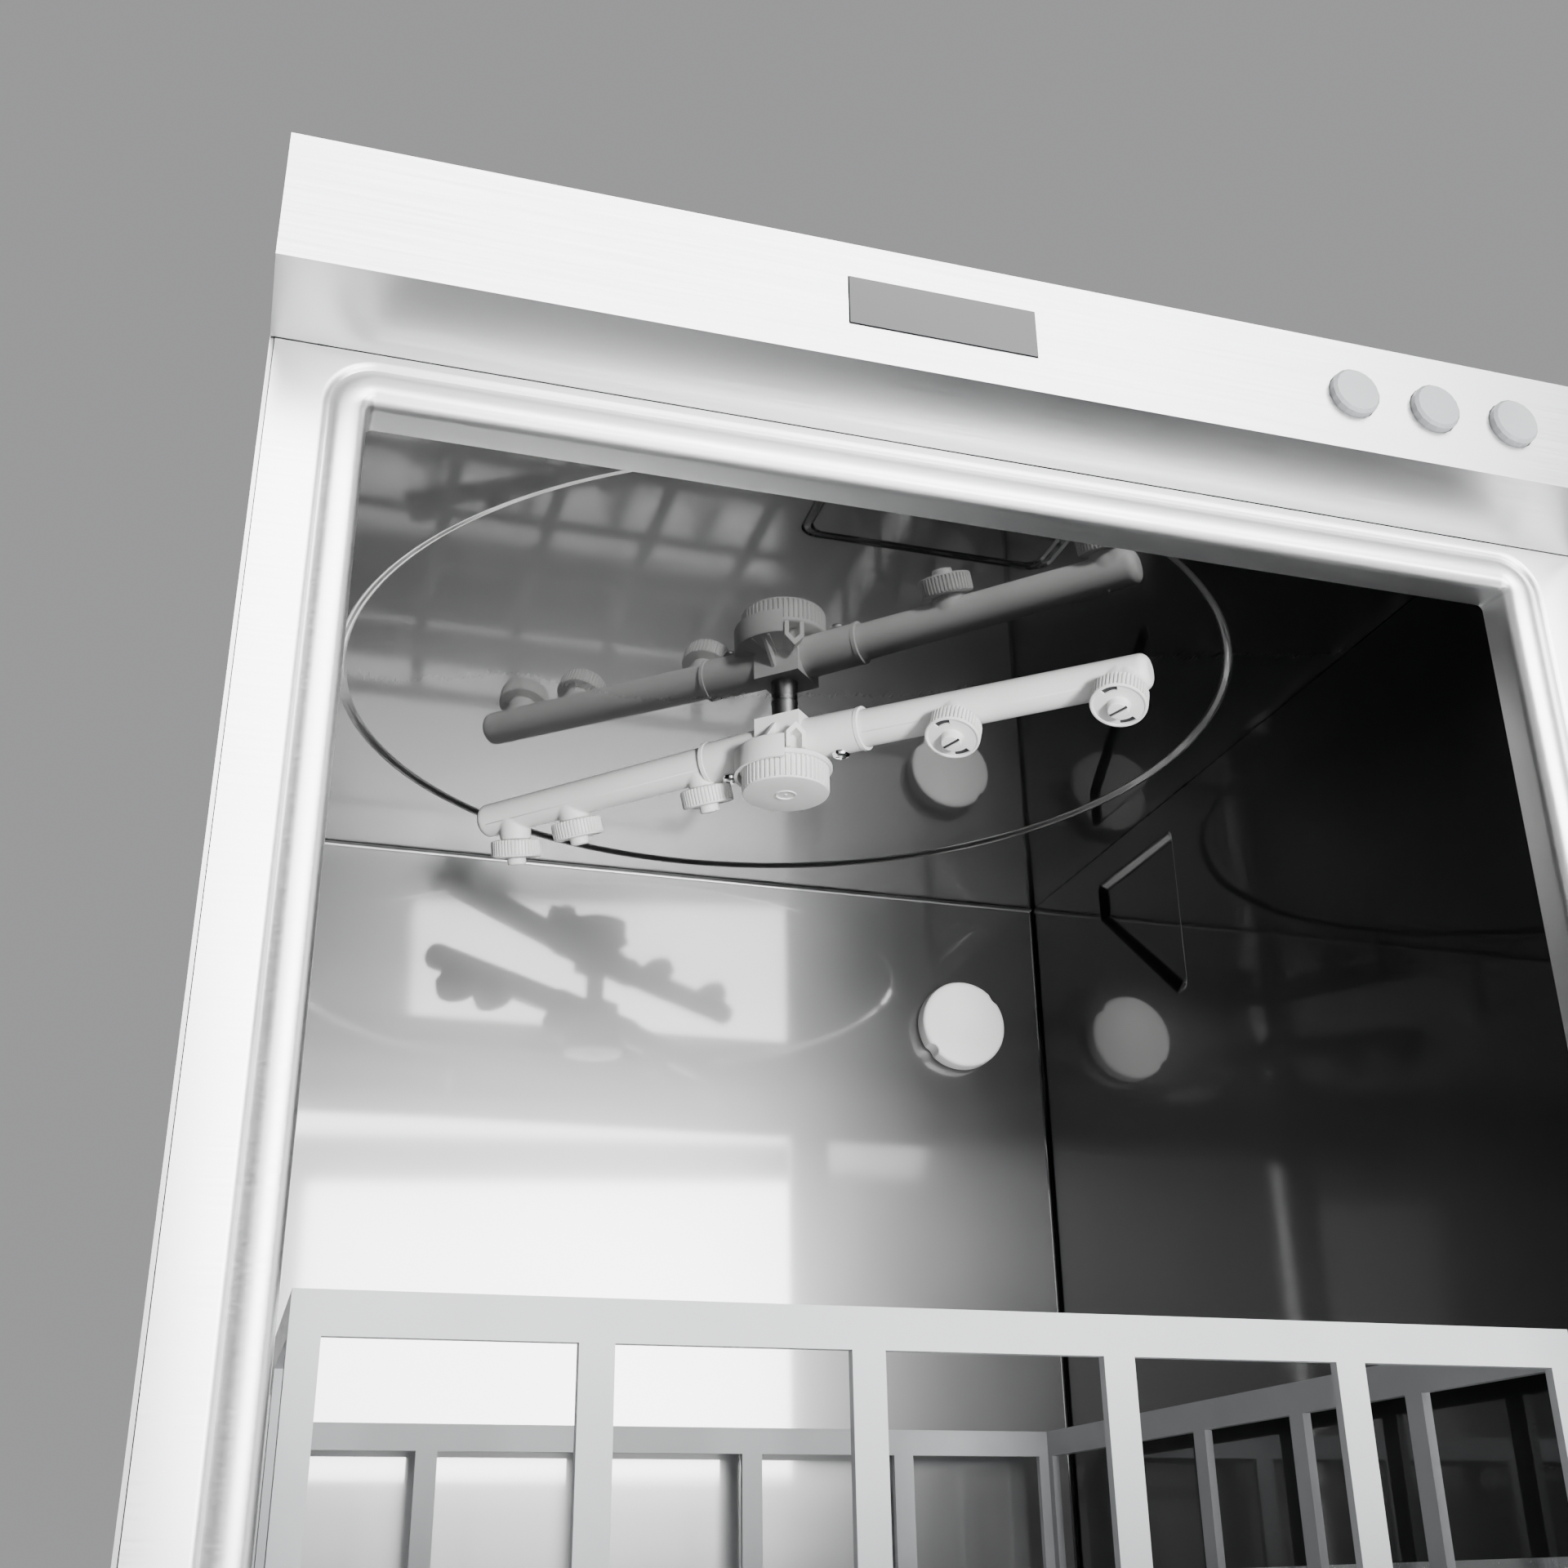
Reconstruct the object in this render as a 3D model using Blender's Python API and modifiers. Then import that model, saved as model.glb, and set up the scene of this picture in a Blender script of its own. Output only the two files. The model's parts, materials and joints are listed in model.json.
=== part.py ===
"""Front-loading commercial glass washer, with its drop-down door lying open.

Everything is modelled around the spindle axis of the spray arms: x runs to the right, y from the door
towards the back and z up from the floor. One empty then moves the machine so that the origin is at the
bottom centre of its box. Sizes are in metres.
"""

import math

import bmesh
import bpy
from mathutils import Matrix

MM = 0.001
TURN = 2 * math.pi

# Clearances
GAP = 0.3 * MM
RUNNING_GAP = 0.8 * MM

# Wash chamber, inside sizes
CHAMBER_WIDTH = 439.2 * MM
CHAMBER_FRONT = 220 * MM
CHAMBER_BACK = 218 * MM
CEILING_Z = 680 * MM
SILL_Z = 296 * MM
LINER = 1.5 * MM

# Pressings in the chamber's ceiling and sides
RING_RADIUS = 200 * MM
RING_BAND = 4.2 * MM
RING_RISE = 1.7 * MM
RECESS_LEFT = -38 * MM
RECESS_RIGHT = 66 * MM
RECESS_REAR = -139.5 * MM
RECESS_FRONT = -177 * MM
RECESS_RISE = 5 * MM
RECESS_SLOPE = 6 * MM
POCKET_TOP = 16.5 * MM
POCKET_FRONT = 48 * MM
POCKET_REAR = 132 * MM
POCKET_DROP = 101 * MM
POCKET_RISE = 3.2 * MM

# Door opening and its frame
OPENING_WIDTH = 408 * MM
LINTEL_DROP = 37 * MM
FRAME_DEPTH = 16 * MM
FRAME_ROUND = 5 * MM
FRAME_SKIN = 2 * MM
FRAME_BELOW_SILL = 51 * MM
SIDE_SPACE = 15.4 * MM
TOP_SPACE = 25 * MM

# Casing
PANEL = 1.2 * MM
BACK_SPACE = 32 * MM
CONNECTOR_REACH = 12 * MM
FASCIA_FRONT = 275 * MM
PLINTH_FRONT = 262 * MM
FOOT_HEIGHT = 30 * MM
FOOT_RADIUS = 21 * MM
FOOT_STEM_RADIUS = 5 * MM
FOOT_INSET = 44 * MM
BASE_DEPTH = 28 * MM

# Door
HINGE_Y = -255 * MM
HINGE_BELOW_SILL = 24 * MM
DOOR_INNER_FACE = 12 * MM
DOOR_OUTER_FACE = 20 * MM
DOOR_FOOT = 14 * MM
DOOR_SIDE_INSET = 2 * MM
DOOR_PAD_RISE = 15 * MM
HINGE_ROD_RADIUS = 5 * MM
BRACKET_THICKNESS = 9 * MM
SEAL_WIDTH = 5 * MM
SEAL_HEIGHT = 6.4 * MM
HANDLE_RADIUS = 7 * MM
HANDLE_HALF_LENGTH = 130 * MM

# Upper spray arm
ARM_DROP = 18.7 * MM
ARM_AZIMUTH = math.radians(-43.9)
ARM_DROOP = math.radians(1.63)
RIGHT_REACH = 169.6 * MM
LEFT_REACH = 166 * MM
TUBE_ROOT_RADIUS = 8.5 * MM
TUBE_TIP_RADIUS = 8 * MM
TUBE_WALL = 1.6 * MM
TUBE_START = 15 * MM
SLEEVE_END = 40 * MM
SLEEVE_WALL = 0.9 * MM
SPINDLE_RADIUS = 6 * MM
SPINDLE_BORE = 3.6 * MM
HUB_LEFT = 10 * MM
HUB_RIGHT = 12.4 * MM
HUB_SIDE_WALL = 1.1 * MM
HUB_TOP_WALL = 0.5 * MM
HUB_FOOT_WALL = 1.3 * MM
COWL_RADIUS = 23.2 * MM
COWL_WALL = 1.6 * MM
COWL_DROP = 16.6 * MM
NUT_RADIUS = 19.7 * MM
NUT_FLANGE_RADIUS = 21.2 * MM
NUT_FLANGE = 2.4 * MM
NUT_HEIGHT = 13.8 * MM
SCREW_STATION = 28 * MM
SCREW_HEAD_RADIUS = 4 * MM
SCREW_HEAD = 2.4 * MM
SCREW_SHANK_RADIUS = 1.6 * MM

# Nozzles, stations measured along the arm
NECK_RADIUS = 7.5 * MM
NECK_END = 9.7 * MM
LONG_NECK_END = 12.2 * MM
NOZZLE_BORE = 3 * MM
CAP_RADIUS = 12 * MM
CAP_HEIGHT = 8.5 * MM
PLUG_RADIUS = 4.5 * MM
PLUG_HEIGHT = 3.5 * MM
RIGHT_TIP_INSET = 12.6 * MM
RIGHT_INNER_STATION = 83.8 * MM
LEFT_TIP_INSET = 18.5 * MM
LEFT_PITCH = 32.5 * MM
LEFT_INNER_STATION = 44 * MM
NOZZLE_TILT = math.radians(23.5)
TIP_NOZZLE_TILT = math.radians(19.5)
TIP_NOZZLE_SPLAY = math.radians(8.6)

# Cap on the back wall
WALL_CAP_X = 167.5 * MM
WALL_CAP_DROP = 77 * MM
WALL_CAP_RADIUS = 24.7 * MM
WALL_CAP_THICKNESS = 13 * MM
WALL_CAP_NOTCH = 5 * MM

# Tank, filter and lower arm
TANK_BELOW_SILL = 46 * MM
TANK_DEPTH = 55 * MM
TANK_FLANGE = 15 * MM
TANK_SLOPE = 10 * MM
FILTER_THICKNESS = 1.2 * MM
LOWER_ARM_BELOW_SILL = 24 * MM
LOWER_ARM_AZIMUTH = math.radians(28)
LOWER_REACH = 165 * MM
LOWER_NECK_END = 11 * MM
LOWER_CAP_HEIGHT = 6 * MM
LOWER_SPINDLE_RADIUS = 11 * MM
STANDPIPE_RADIUS = 14 * MM
STANDPIPE_INSET = 52 * MM
STANDPIPE_TOP_BELOW_SILL = 38 * MM
ELEMENT_RADIUS = 4 * MM

# Rack and its rails
RACK_WIDTH = 400 * MM
RACK_HEIGHT = 85 * MM
RACK_WALL = 3.5 * MM
RACK_CELLS = 5
RAIL_REACH = 27 * MM
RAIL_HEIGHT = 20 * MM
RAIL_ABOVE_SILL = 2.5 * MM

# Machine space under the tank
PUMP_X = -30 * MM
PUMP_Y = -120 * MM
PUMP_Z = 112 * MM
VOLUTE_RADIUS = 56 * MM
VOLUTE_LENGTH = 44 * MM
MOTOR_RADIUS = 50 * MM
MOTOR_LENGTH = 128 * MM
SHAFT_RADIUS = 6 * MM
IMPELLER_RADIUS = 42 * MM
HOSE_RADIUS = 14 * MM
PIPE_RADIUS = 7 * MM
BOILER_RADIUS = 55 * MM
BOILER_LENGTH = 270 * MM
BOILER_Y = 120 * MM
BOILER_Z = 112 * MM

# Controls
BUTTON_RADIUS = 9 * MM
BUTTON_PROUD = 3.5 * MM
BUTTON_DEPTH = 16 * MM
BUTTON_PITCH = 32 * MM
FIRST_BUTTON_X = 120 * MM
WINDOW_WIDTH = 64 * MM
WINDOW_HEIGHT = 18 * MM
WINDOW_X = -30 * MM

# Sizes that follow
HALF_CHAMBER = CHAMBER_WIDTH / 2
HALF_CABINET = HALF_CHAMBER + SIDE_SPACE
HALF_INSIDE = HALF_CABINET - PANEL - GAP
HALF_OPENING = OPENING_WIDTH / 2
CABINET_BACK = CHAMBER_BACK + BACK_SPACE
CABINET_HEIGHT = CEILING_Z + TOP_SPACE
LINTEL_Z = CEILING_Z - LINTEL_DROP
FASCIA_Z = LINTEL_Z + 17 * MM
FRAME_BACK_Y = -CHAMBER_FRONT - GAP
FRAME_FRONT_Y = FRAME_BACK_Y - FRAME_DEPTH
FRAME_BOTTOM_Z = SILL_Z - FRAME_BELOW_SILL
HINGE_Z = SILL_Z - HINGE_BELOW_SILL
DOOR_TOP = FASCIA_Z - 4 * MM - HINGE_Z
FRONT_REACH = DOOR_TOP - HINGE_Y
BACK_REACH = CABINET_BACK + CONNECTOR_REACH
SPINDLE_Y = (FRONT_REACH - BACK_REACH) / 2
TANK_TOP_Z = SILL_Z - TANK_BELOW_SILL
TANK_FLOOR_Z = TANK_TOP_Z - TANK_DEPTH
SPINDLE_BASE_Z = CEILING_Z + RING_RISE
ARM_Z = CEILING_Z - ARM_DROP
LOWER_ARM_Z = SILL_Z - LOWER_ARM_BELOW_SILL
RAIL_Z = SILL_Z + RAIL_ABOVE_SILL
RACK_Z = RAIL_Z + LINER + GAP
SLEEVE_BORE = TUBE_ROOT_RADIUS + GAP
SLEEVE_RADIUS = SLEEVE_BORE + SLEEVE_WALL
HUB_HALF_WIDTH = SLEEVE_RADIUS + HUB_SIDE_WALL
HUB_ABOVE_ARM = SLEEVE_RADIUS + HUB_TOP_WALL
HUB_BELOW_ARM = SLEEVE_RADIUS + HUB_FOOT_WALL

parts = None
helpers = None
finishes = {}


# Scene, materials and modifiers


def clear_scene():
    for obj in list(bpy.data.objects):
        bpy.data.objects.remove(obj, do_unlink=True)


def new_collection(name):
    made = bpy.data.collections.new(name)
    bpy.context.scene.collection.children.link(made)
    return made


def add_finish(name, colour, roughness, metallic):
    material = bpy.data.materials.new(name)
    material.use_nodes = True
    shader = material.node_tree.nodes["Principled BSDF"]
    shader.inputs["Base Color"].default_value = (*colour, 1)
    shader.inputs["Roughness"].default_value = roughness
    shader.inputs["Metallic"].default_value = metallic
    finishes[name] = material


def add_empty(name, parent=None, location=(0, 0, 0), rotation=(0, 0, 0)):
    empty = bpy.data.objects.new(name, None)
    empty.parent = parent
    empty.location = location
    empty.rotation_euler = rotation
    parts.objects.link(empty)
    return empty


def place(name, data, finish, parent, location=(0, 0, 0), rotation=(0, 0, 0)):
    """A named sub-part in the parts collection."""
    obj = bpy.data.objects.new(name, data)
    obj.parent = parent
    obj.location = location
    obj.rotation_euler = rotation
    obj.data.materials.clear()
    obj.data.materials.append(finishes[finish])
    parts.objects.link(obj)
    return obj


def helper(name, data, parent, location=(0, 0, 0), rotation=(0, 0, 0)):
    """A cutter, or a lump that a sub-part takes in."""
    obj = bpy.data.objects.new(name, data)
    obj.parent = parent
    obj.location = location
    obj.rotation_euler = rotation
    obj.display_type = "WIRE"
    obj.hide_render = True
    helpers.objects.link(obj)
    return obj


def combine(target, operation, others):
    for other in others:
        modifier = target.modifiers.new(other.name, "BOOLEAN")
        modifier.operation = operation
        modifier.solver = "EXACT"
        modifier.object = other


def cut(target, *others):
    combine(target, "DIFFERENCE", others)


def join(target, *others):
    combine(target, "UNION", others)


def thicken(target, thickness):
    modifier = target.modifiers.new("sheet", "SOLIDIFY")
    modifier.thickness = thickness
    modifier.offset = 1
    modifier.use_even_offset = True


def soften(target, width, segments=2, angle=60):
    modifier = target.modifiers.new("soft_edges", "BEVEL")
    modifier.width = width
    modifier.segments = segments
    modifier.limit_method = "ANGLE"
    modifier.angle_limit = math.radians(angle)


# Outlines


def circle(radius, sides, centre=(0, 0), start=0.0):
    steps = (start + TURN * step / sides for step in range(sides))
    return [(centre[0] + radius * math.cos(a), centre[1] + radius * math.sin(a)) for a in steps]


def rectangle(left, bottom, right, top):
    return [(left, bottom), (right, bottom), (right, top), (left, top)]


def rounded(corners, radius, steps=3):
    """The polygon of these corners, counterclockwise, with each corner rounded."""
    outline = []
    for index, corner in enumerate(corners):
        before = corners[index - 1]
        after = corners[(index + 1) % len(corners)]
        arrive = math.atan2(corner[1] - before[1], corner[0] - before[0])
        leave = math.atan2(after[1] - corner[1], after[0] - corner[0])
        bend = (leave - arrive) % TURN
        reach = radius * math.tan(bend / 2)
        start_x = corner[0] - reach * math.cos(arrive)
        start_y = corner[1] - reach * math.sin(arrive)
        centre_x = start_x - radius * math.sin(arrive)
        centre_y = start_y + radius * math.cos(arrive)
        for step in range(steps + 1):
            angle = arrive - TURN / 4 + bend * step / steps
            x = centre_x + radius * math.cos(angle)
            y = centre_y + radius * math.sin(angle)
            outline.append((x, y))
    return outline


def sector(inner, outer, start, end, steps):
    """Part of a ring, between two angles."""
    angles = [start + (end - start) * step / steps for step in range(steps + 1)]
    outline = [(outer * math.cos(a), outer * math.sin(a)) for a in angles]
    outline += [(inner * math.cos(a), inner * math.sin(a)) for a in reversed(angles)]
    return outline


def bent_route(points, radius, steps=3):
    """A route in space through these points, with each bend rounded."""
    route = [points[0]]
    for before, corner, after in zip(points, points[1:], points[2:]):
        arrive = [a - b for a, b in zip(before, corner)]
        leave = [a - b for a, b in zip(after, corner)]
        arrive = [value / math.hypot(*arrive) for value in arrive]
        leave = [value / math.hypot(*leave) for value in leave]
        for step in range(steps + 1):
            share = step / steps
            pull_in = radius * (1 - share) ** 2
            pull_out = radius * share**2
            route.append(
                tuple(c + pull_in * a + pull_out * b for c, a, b in zip(corner, arrive, leave))
            )
    route.append(points[-1])
    return route


# Meshes and curves


def mesh_from(bm, name):
    mesh = bpy.data.meshes.new(name)
    bm.to_mesh(mesh)
    bm.free()
    return mesh


def box_mesh(low, high, name="box"):
    bm = bmesh.new()
    add_box(bm, low, high)
    return mesh_from(bm, name)


def add_box(bm, low, high):
    size = [top - bottom for bottom, top in zip(low, high)]
    middle = [(top + bottom) / 2 for bottom, top in zip(low, high)]
    matrix = Matrix.Translation(middle) @ Matrix.Diagonal((*size, 1))
    bmesh.ops.create_cube(bm, size=1, matrix=matrix)


def boxes_mesh(boxes, name="boxes"):
    bm = bmesh.new()
    for low, high in boxes:
        add_box(bm, low, high)
    return mesh_from(bm, name)


def rod_mesh(radius, bottom, top, sides=20, name="rod"):
    """A cylinder along z."""
    bm = bmesh.new()
    matrix = Matrix.Translation((0, 0, (bottom + top) / 2))
    bmesh.ops.create_cone(
        bm,
        cap_ends=True,
        segments=sides,
        radius1=radius,
        radius2=radius,
        depth=top - bottom,
        matrix=matrix,
    )
    return mesh_from(bm, name)


def prism_mesh(outline, bottom, top, name="prism"):
    """A flat outline drawn up along z."""
    bm = bmesh.new()
    face = bm.faces.new([bm.verts.new((x, y, bottom)) for x, y in outline])
    drawn = bmesh.ops.extrude_face_region(bm, geom=[face])
    moved = [item for item in drawn["geom"] if isinstance(item, bmesh.types.BMVert)]
    bmesh.ops.translate(bm, verts=moved, vec=(0, 0, top - bottom))
    bmesh.ops.recalc_face_normals(bm, faces=bm.faces)
    return mesh_from(bm, name)


def turned(name, profile, finish, parent, location=(0, 0, 0), rotation=(0, 0, 0), sides=24, ring=False):
    """A solid turned about z. The profile's (radius, z) points run down its outer side."""
    mesh = bpy.data.meshes.new(name)
    edges = [(index, index + 1) for index in range(len(profile) - 1)]
    if ring:
        edges.append((len(profile) - 1, 0))
    mesh.from_pydata([(radius, 0, z) for radius, z in profile], edges, [])
    if finish:
        obj = place(name, mesh, finish, parent, location, rotation)
    else:
        obj = helper(name, mesh, parent, location, rotation)
    screw = obj.modifiers.new("turn", "SCREW")
    screw.steps = sides
    screw.render_steps = sides
    screw.use_merge_vertices = True
    screw.merge_threshold = 0.01 * MM
    screw.use_smooth_shade = False
    return obj


def tube(name, route, radius, finish, parent):
    """A bent tube or hose along a route."""
    curve = bpy.data.curves.new(name, "CURVE")
    curve.dimensions = "3D"
    curve.bevel_depth = radius
    curve.bevel_resolution = 2
    curve.use_fill_caps = True
    spline = curve.splines.new("POLY")
    spline.points.add(len(route) - 1)
    for point, position in zip(spline.points, route):
        point.co = (*position, 1)
    return place(name, curve, finish, parent)


def plate(name, outlines, thickness, finish, parent, location=(0, 0, 0), rotation=(0, 0, 0)):
    """A flat plate from its outer outline and its holes, centred on its own xy plane."""
    curve = bpy.data.curves.new(name, "CURVE")
    curve.dimensions = "2D"
    curve.fill_mode = "BOTH"
    curve.extrude = thickness / 2
    for outline in outlines:
        spline = curve.splines.new("POLY")
        spline.points.add(len(outline) - 1)
        for point, (x, y) in zip(spline.points, outline):
            point.co = (x, y, 0, 1)
        spline.use_cyclic_u = True
    return place(name, curve, finish, parent, location, rotation)


def loop_of(bm, outline, z):
    return [bm.verts.new((x, y, z)) for x, y in outline]


def fill_between(bm, loops):
    edges = []
    for loop in loops:
        for start, end in zip(loop, loop[1:] + loop[:1]):
            edges.append(bm.edges.get((start, end)) or bm.edges.new((start, end)))
    bmesh.ops.triangle_fill(bm, use_beauty=True, edges=edges, normal=(0, 0, 1))


def press(bm, border, z, pressings, holes):
    """Fills one level of a pressed sheet, and then each level that is pressed out of it."""
    rims = [loop_of(bm, pressing["rim"], z) for pressing in pressings]
    openings = [loop_of(bm, hole, z) for hole in holes]
    fill_between(bm, [border, *rims, *openings])
    for pressing, rim in zip(pressings, rims):
        level = z + pressing["rise"]
        floor = loop_of(bm, pressing["floor"], level)
        for index in range(len(rim)):
            nearby = (index + 1) % len(rim)
            bm.faces.new((rim[index], rim[nearby], floor[nearby], floor[index]))
        press(bm, floor, level, pressing.get("pressings", []), pressing.get("holes", []))


def pressed_sheet(name, outline, pressings, holes, thickness, finish, parent, location, rotation):
    """A sheet in its own xy plane, thickened towards +z, with levels pressed out of it."""
    bm = bmesh.new()
    press(bm, loop_of(bm, outline, 0), 0, pressings, holes)
    bmesh.ops.recalc_face_normals(bm, faces=bm.faces)
    if sum(face.normal.z * face.calc_area() for face in bm.faces) < 0:
        bmesh.ops.reverse_faces(bm, faces=bm.faces)
    obj = place(name, mesh_from(bm, name), finish, parent, location, rotation)
    thicken(obj, thickness)
    return obj


def open_box(name, low, high, open_low, open_high, wall, finish, parent):
    """A sheet box that is left open on one side, which the two open_ steps push the hollow past."""
    box = place(name, box_mesh(low, high), finish, parent)
    inside_low = [value + (wall if not step else -step) for value, step in zip(low, open_low)]
    inside_high = [value - (wall if not step else -step) for value, step in zip(high, open_high)]
    cut(box, helper(f"{name}_hollow", box_mesh(inside_low, inside_high), parent))
    return box


# Sub-parts: casing


def build_casing(machine):
    inside = HALF_INSIDE
    base_front = FRAME_FRONT_Y + GAP
    base_back = CABINET_BACK - PANEL - GAP
    base_low = (-inside, base_front, FOOT_HEIGHT)
    base_high = (inside, base_back, FOOT_HEIGHT + BASE_DEPTH)
    base = open_box("base_tray", base_low, base_high, (0, 0, 0), (0, 0, MM), LINER, "steel", machine)
    for index, (x, y) in enumerate(foot_places()):
        hole = rod_mesh(FOOT_STEM_RADIUS + GAP, -LINER, 2 * LINER, 14)
        cut(base, helper(f"foot_hole_{index + 1}", hole, machine, (x, y, FOOT_HEIGHT)))
    panel_bottom = FOOT_HEIGHT + 3 * MM
    for side, name in ((-1, "left_side_panel"), (1, "right_side_panel")):
        near = side * (HALF_CABINET - PANEL)
        far = side * HALF_CABINET
        low = (min(near, far), base_front, panel_bottom)
        high = (max(near, far), CABINET_BACK, CABINET_HEIGHT - PANEL - GAP)
        place(name, box_mesh(low, high), "brushed", machine)
    top_low = (-HALF_CABINET, base_front, CABINET_HEIGHT - PANEL)
    top_high = (HALF_CABINET, CABINET_BACK, CABINET_HEIGHT)
    place("top_panel", box_mesh(top_low, top_high), "brushed", machine)
    build_back_panel(machine, panel_bottom)
    plinth_low = (-inside, -PLINTH_FRONT, FOOT_HEIGHT + 4 * MM)
    plinth_high = (inside, FRAME_FRONT_Y - GAP, FRAME_BOTTOM_Z - MM)
    plinth = open_box(
        "lower_front_panel", plinth_low, plinth_high, (0, 0, 0), (0, MM, 0), PANEL, "brushed", machine
    )
    slots = []
    for row in range(4):
        z = FOOT_HEIGHT + 40 * MM + 12 * MM * row
        slots.append(((-70 * MM, -PLINTH_FRONT - MM, z), (70 * MM, -PLINTH_FRONT + 3 * MM, z + 4 * MM)))
    cut(plinth, helper("plinth_slots", boxes_mesh(slots), machine))


def foot_places():
    x = HALF_CABINET - FOOT_INSET
    return [(-x, -PLINTH_FRONT + 66 * MM), (x, -PLINTH_FRONT + 66 * MM)] + [
        (-x, CABINET_BACK - FOOT_INSET),
        (x, CABINET_BACK - FOOT_INSET),
    ]


def connector_places():
    """Where the back panel is drilled: the x and z of the water inlet, the drain and the cable gland."""
    return {
        "water_inlet": (-150 * MM, 90 * MM),
        "drain_outlet": (-80 * MM, 75 * MM),
        "cable_gland": (160 * MM, 90 * MM),
    }


def build_back_panel(machine, bottom):
    low = (-HALF_INSIDE, CABINET_BACK - PANEL, bottom)
    high = (HALF_INSIDE, CABINET_BACK, CABINET_HEIGHT - PANEL - GAP)
    panel = place("back_panel", box_mesh(low, high), "brushed", machine)
    for name, (x, z) in connector_places().items():
        hole = rod_mesh(11 * MM + GAP, -5 * MM, 5 * MM, 16)
        turn = (TURN / 4, 0, 0)
        cut(panel, helper(f"{name}_hole", hole, machine, (x, CABINET_BACK, z), turn))
    slots = []
    for row in range(6):
        z = bottom + 120 * MM + 12 * MM * row
        slots.append(((-60 * MM, CABINET_BACK - 5 * MM, z), (60 * MM, CABINET_BACK + MM, z + 4 * MM)))
    cut(panel, helper("vent_slots", boxes_mesh(slots), machine))


def build_feet(machine):
    names = ("foot_front_left", "foot_front_right", "foot_rear_left", "foot_rear_right")
    top = FOOT_HEIGHT + 14 * MM
    profile = [
        (0, top),
        (FOOT_STEM_RADIUS, top),
        (FOOT_STEM_RADIUS, FOOT_HEIGHT - GAP),
        (11 * MM, FOOT_HEIGHT - GAP),
        (11 * MM, 10 * MM),
        (FOOT_RADIUS - 3 * MM, 9 * MM),
        (FOOT_RADIUS, 6 * MM),
        (FOOT_RADIUS, 0),
        (0, 0),
    ]
    for name, (x, y) in zip(names, foot_places()):
        turned(name, profile, "black_plastic", machine, (x, y, 0), sides=16)


def build_back_connectors(machine):
    """Each comes out of the back panel at a hole of its own, and none reaches past the others."""
    outer = CABINET_BACK + CONNECTOR_REACH
    shapes = {
        "water_inlet": (9 * MM, "brass", 15 * MM, 4 * MM),
        "drain_outlet": (10 * MM, "black_plastic", 15 * MM, 7 * MM),
        "cable_gland": (10.5 * MM, "black_plastic", 14 * MM, 4 * MM),
    }
    for name, (x, z) in connector_places().items():
        radius, finish, flange, bore = shapes[name]
        behind = CABINET_BACK - PANEL - GAP
        profile = [
            (bore, outer),
            (radius, outer),
            (radius, behind),
            (flange, behind),
            (flange, behind - 6 * MM),
            (bore, behind - 6 * MM),
        ]
        turned(name, profile, finish, machine, (x, 0, z), (-TURN / 4, 0, 0), 16, ring=True)


# Sub-parts: front frame and controls


def build_front_frame(machine):
    outer_low = (-HALF_INSIDE, FRAME_FRONT_Y, FRAME_BOTTOM_Z)
    outer_high = (HALF_INSIDE, FRAME_BACK_Y, FASCIA_Z - GAP)
    frame = place("front_frame", box_mesh(outer_low, outer_high), "steel", machine)
    opening_low = (-HALF_OPENING, FRAME_FRONT_Y - MM, SILL_Z)
    opening_high = (HALF_OPENING, FRAME_BACK_Y + MM, LINTEL_Z)
    cut(frame, helper("door_opening", box_mesh(opening_low, opening_high), machine))
    hollow_low = (-HALF_INSIDE + FRAME_SKIN, FRAME_FRONT_Y + FRAME_SKIN, FRAME_BOTTOM_Z + FRAME_SKIN)
    hollow_high = (HALF_INSIDE - FRAME_SKIN, FRAME_BACK_Y + MM, FASCIA_Z - GAP - FRAME_SKIN)
    hollow = helper("frame_hollow", box_mesh(hollow_low, hollow_high), machine)
    core_low = (-HALF_OPENING - FRAME_SKIN, FRAME_FRONT_Y - MM, SILL_Z - FRAME_SKIN)
    core_high = (HALF_OPENING + FRAME_SKIN, FRAME_BACK_Y + 2 * MM, LINTEL_Z + FRAME_SKIN)
    cut(hollow, helper("frame_core", box_mesh(core_low, core_high), machine))
    cut(frame, hollow)
    for side, name in ((-1, "hinge_ear_left"), (1, "hinge_ear_right")):
        join(frame, hinge_ear(machine, name, side))
    for side, name in ((-1, "ear_bore_left"), (1, "ear_bore_right")):
        bore = rod_mesh(HINGE_ROD_RADIUS + GAP, -BRACKET_THICKNESS, BRACKET_THICKNESS, 20)
        place_x = side * (HALF_INSIDE - BRACKET_THICKNESS / 2)
        cut(frame, helper(name, bore, machine, (place_x, HINGE_Y, HINGE_Z), (0, TURN / 4, 0)))


def hinge_ear(machine, name, side):
    """The lug at each end of the hinge rod, drawn in its side view and thickened along x."""
    nose = DOOR_FOOT - MM
    root = -(FRAME_FRONT_Y + MM - HINGE_Y)
    outline = [(nose * math.cos(a), nose * math.sin(a)) for a in (TURN * (k / 16 - 0.25) for k in range(9))]
    outline += [(root, nose), (root, -nose)]
    middle = side * (HALF_INSIDE - BRACKET_THICKNESS / 2)
    half = BRACKET_THICKNESS / 2
    ear = helper(name, prism_mesh(outline, -half, half), machine, (middle, HINGE_Y, HINGE_Z))
    # The outline's first axis points out of the machine, and its second one up.
    ear.rotation_euler = Matrix(((0, 0, 1), (-1, 0, 0), (0, 1, 0))).to_euler()
    return ear


def button_places():
    names = ("power_button", "cycle_button", "start_button")
    return {name: FIRST_BUTTON_X + BUTTON_PITCH * index for index, name in enumerate(names)}


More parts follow.
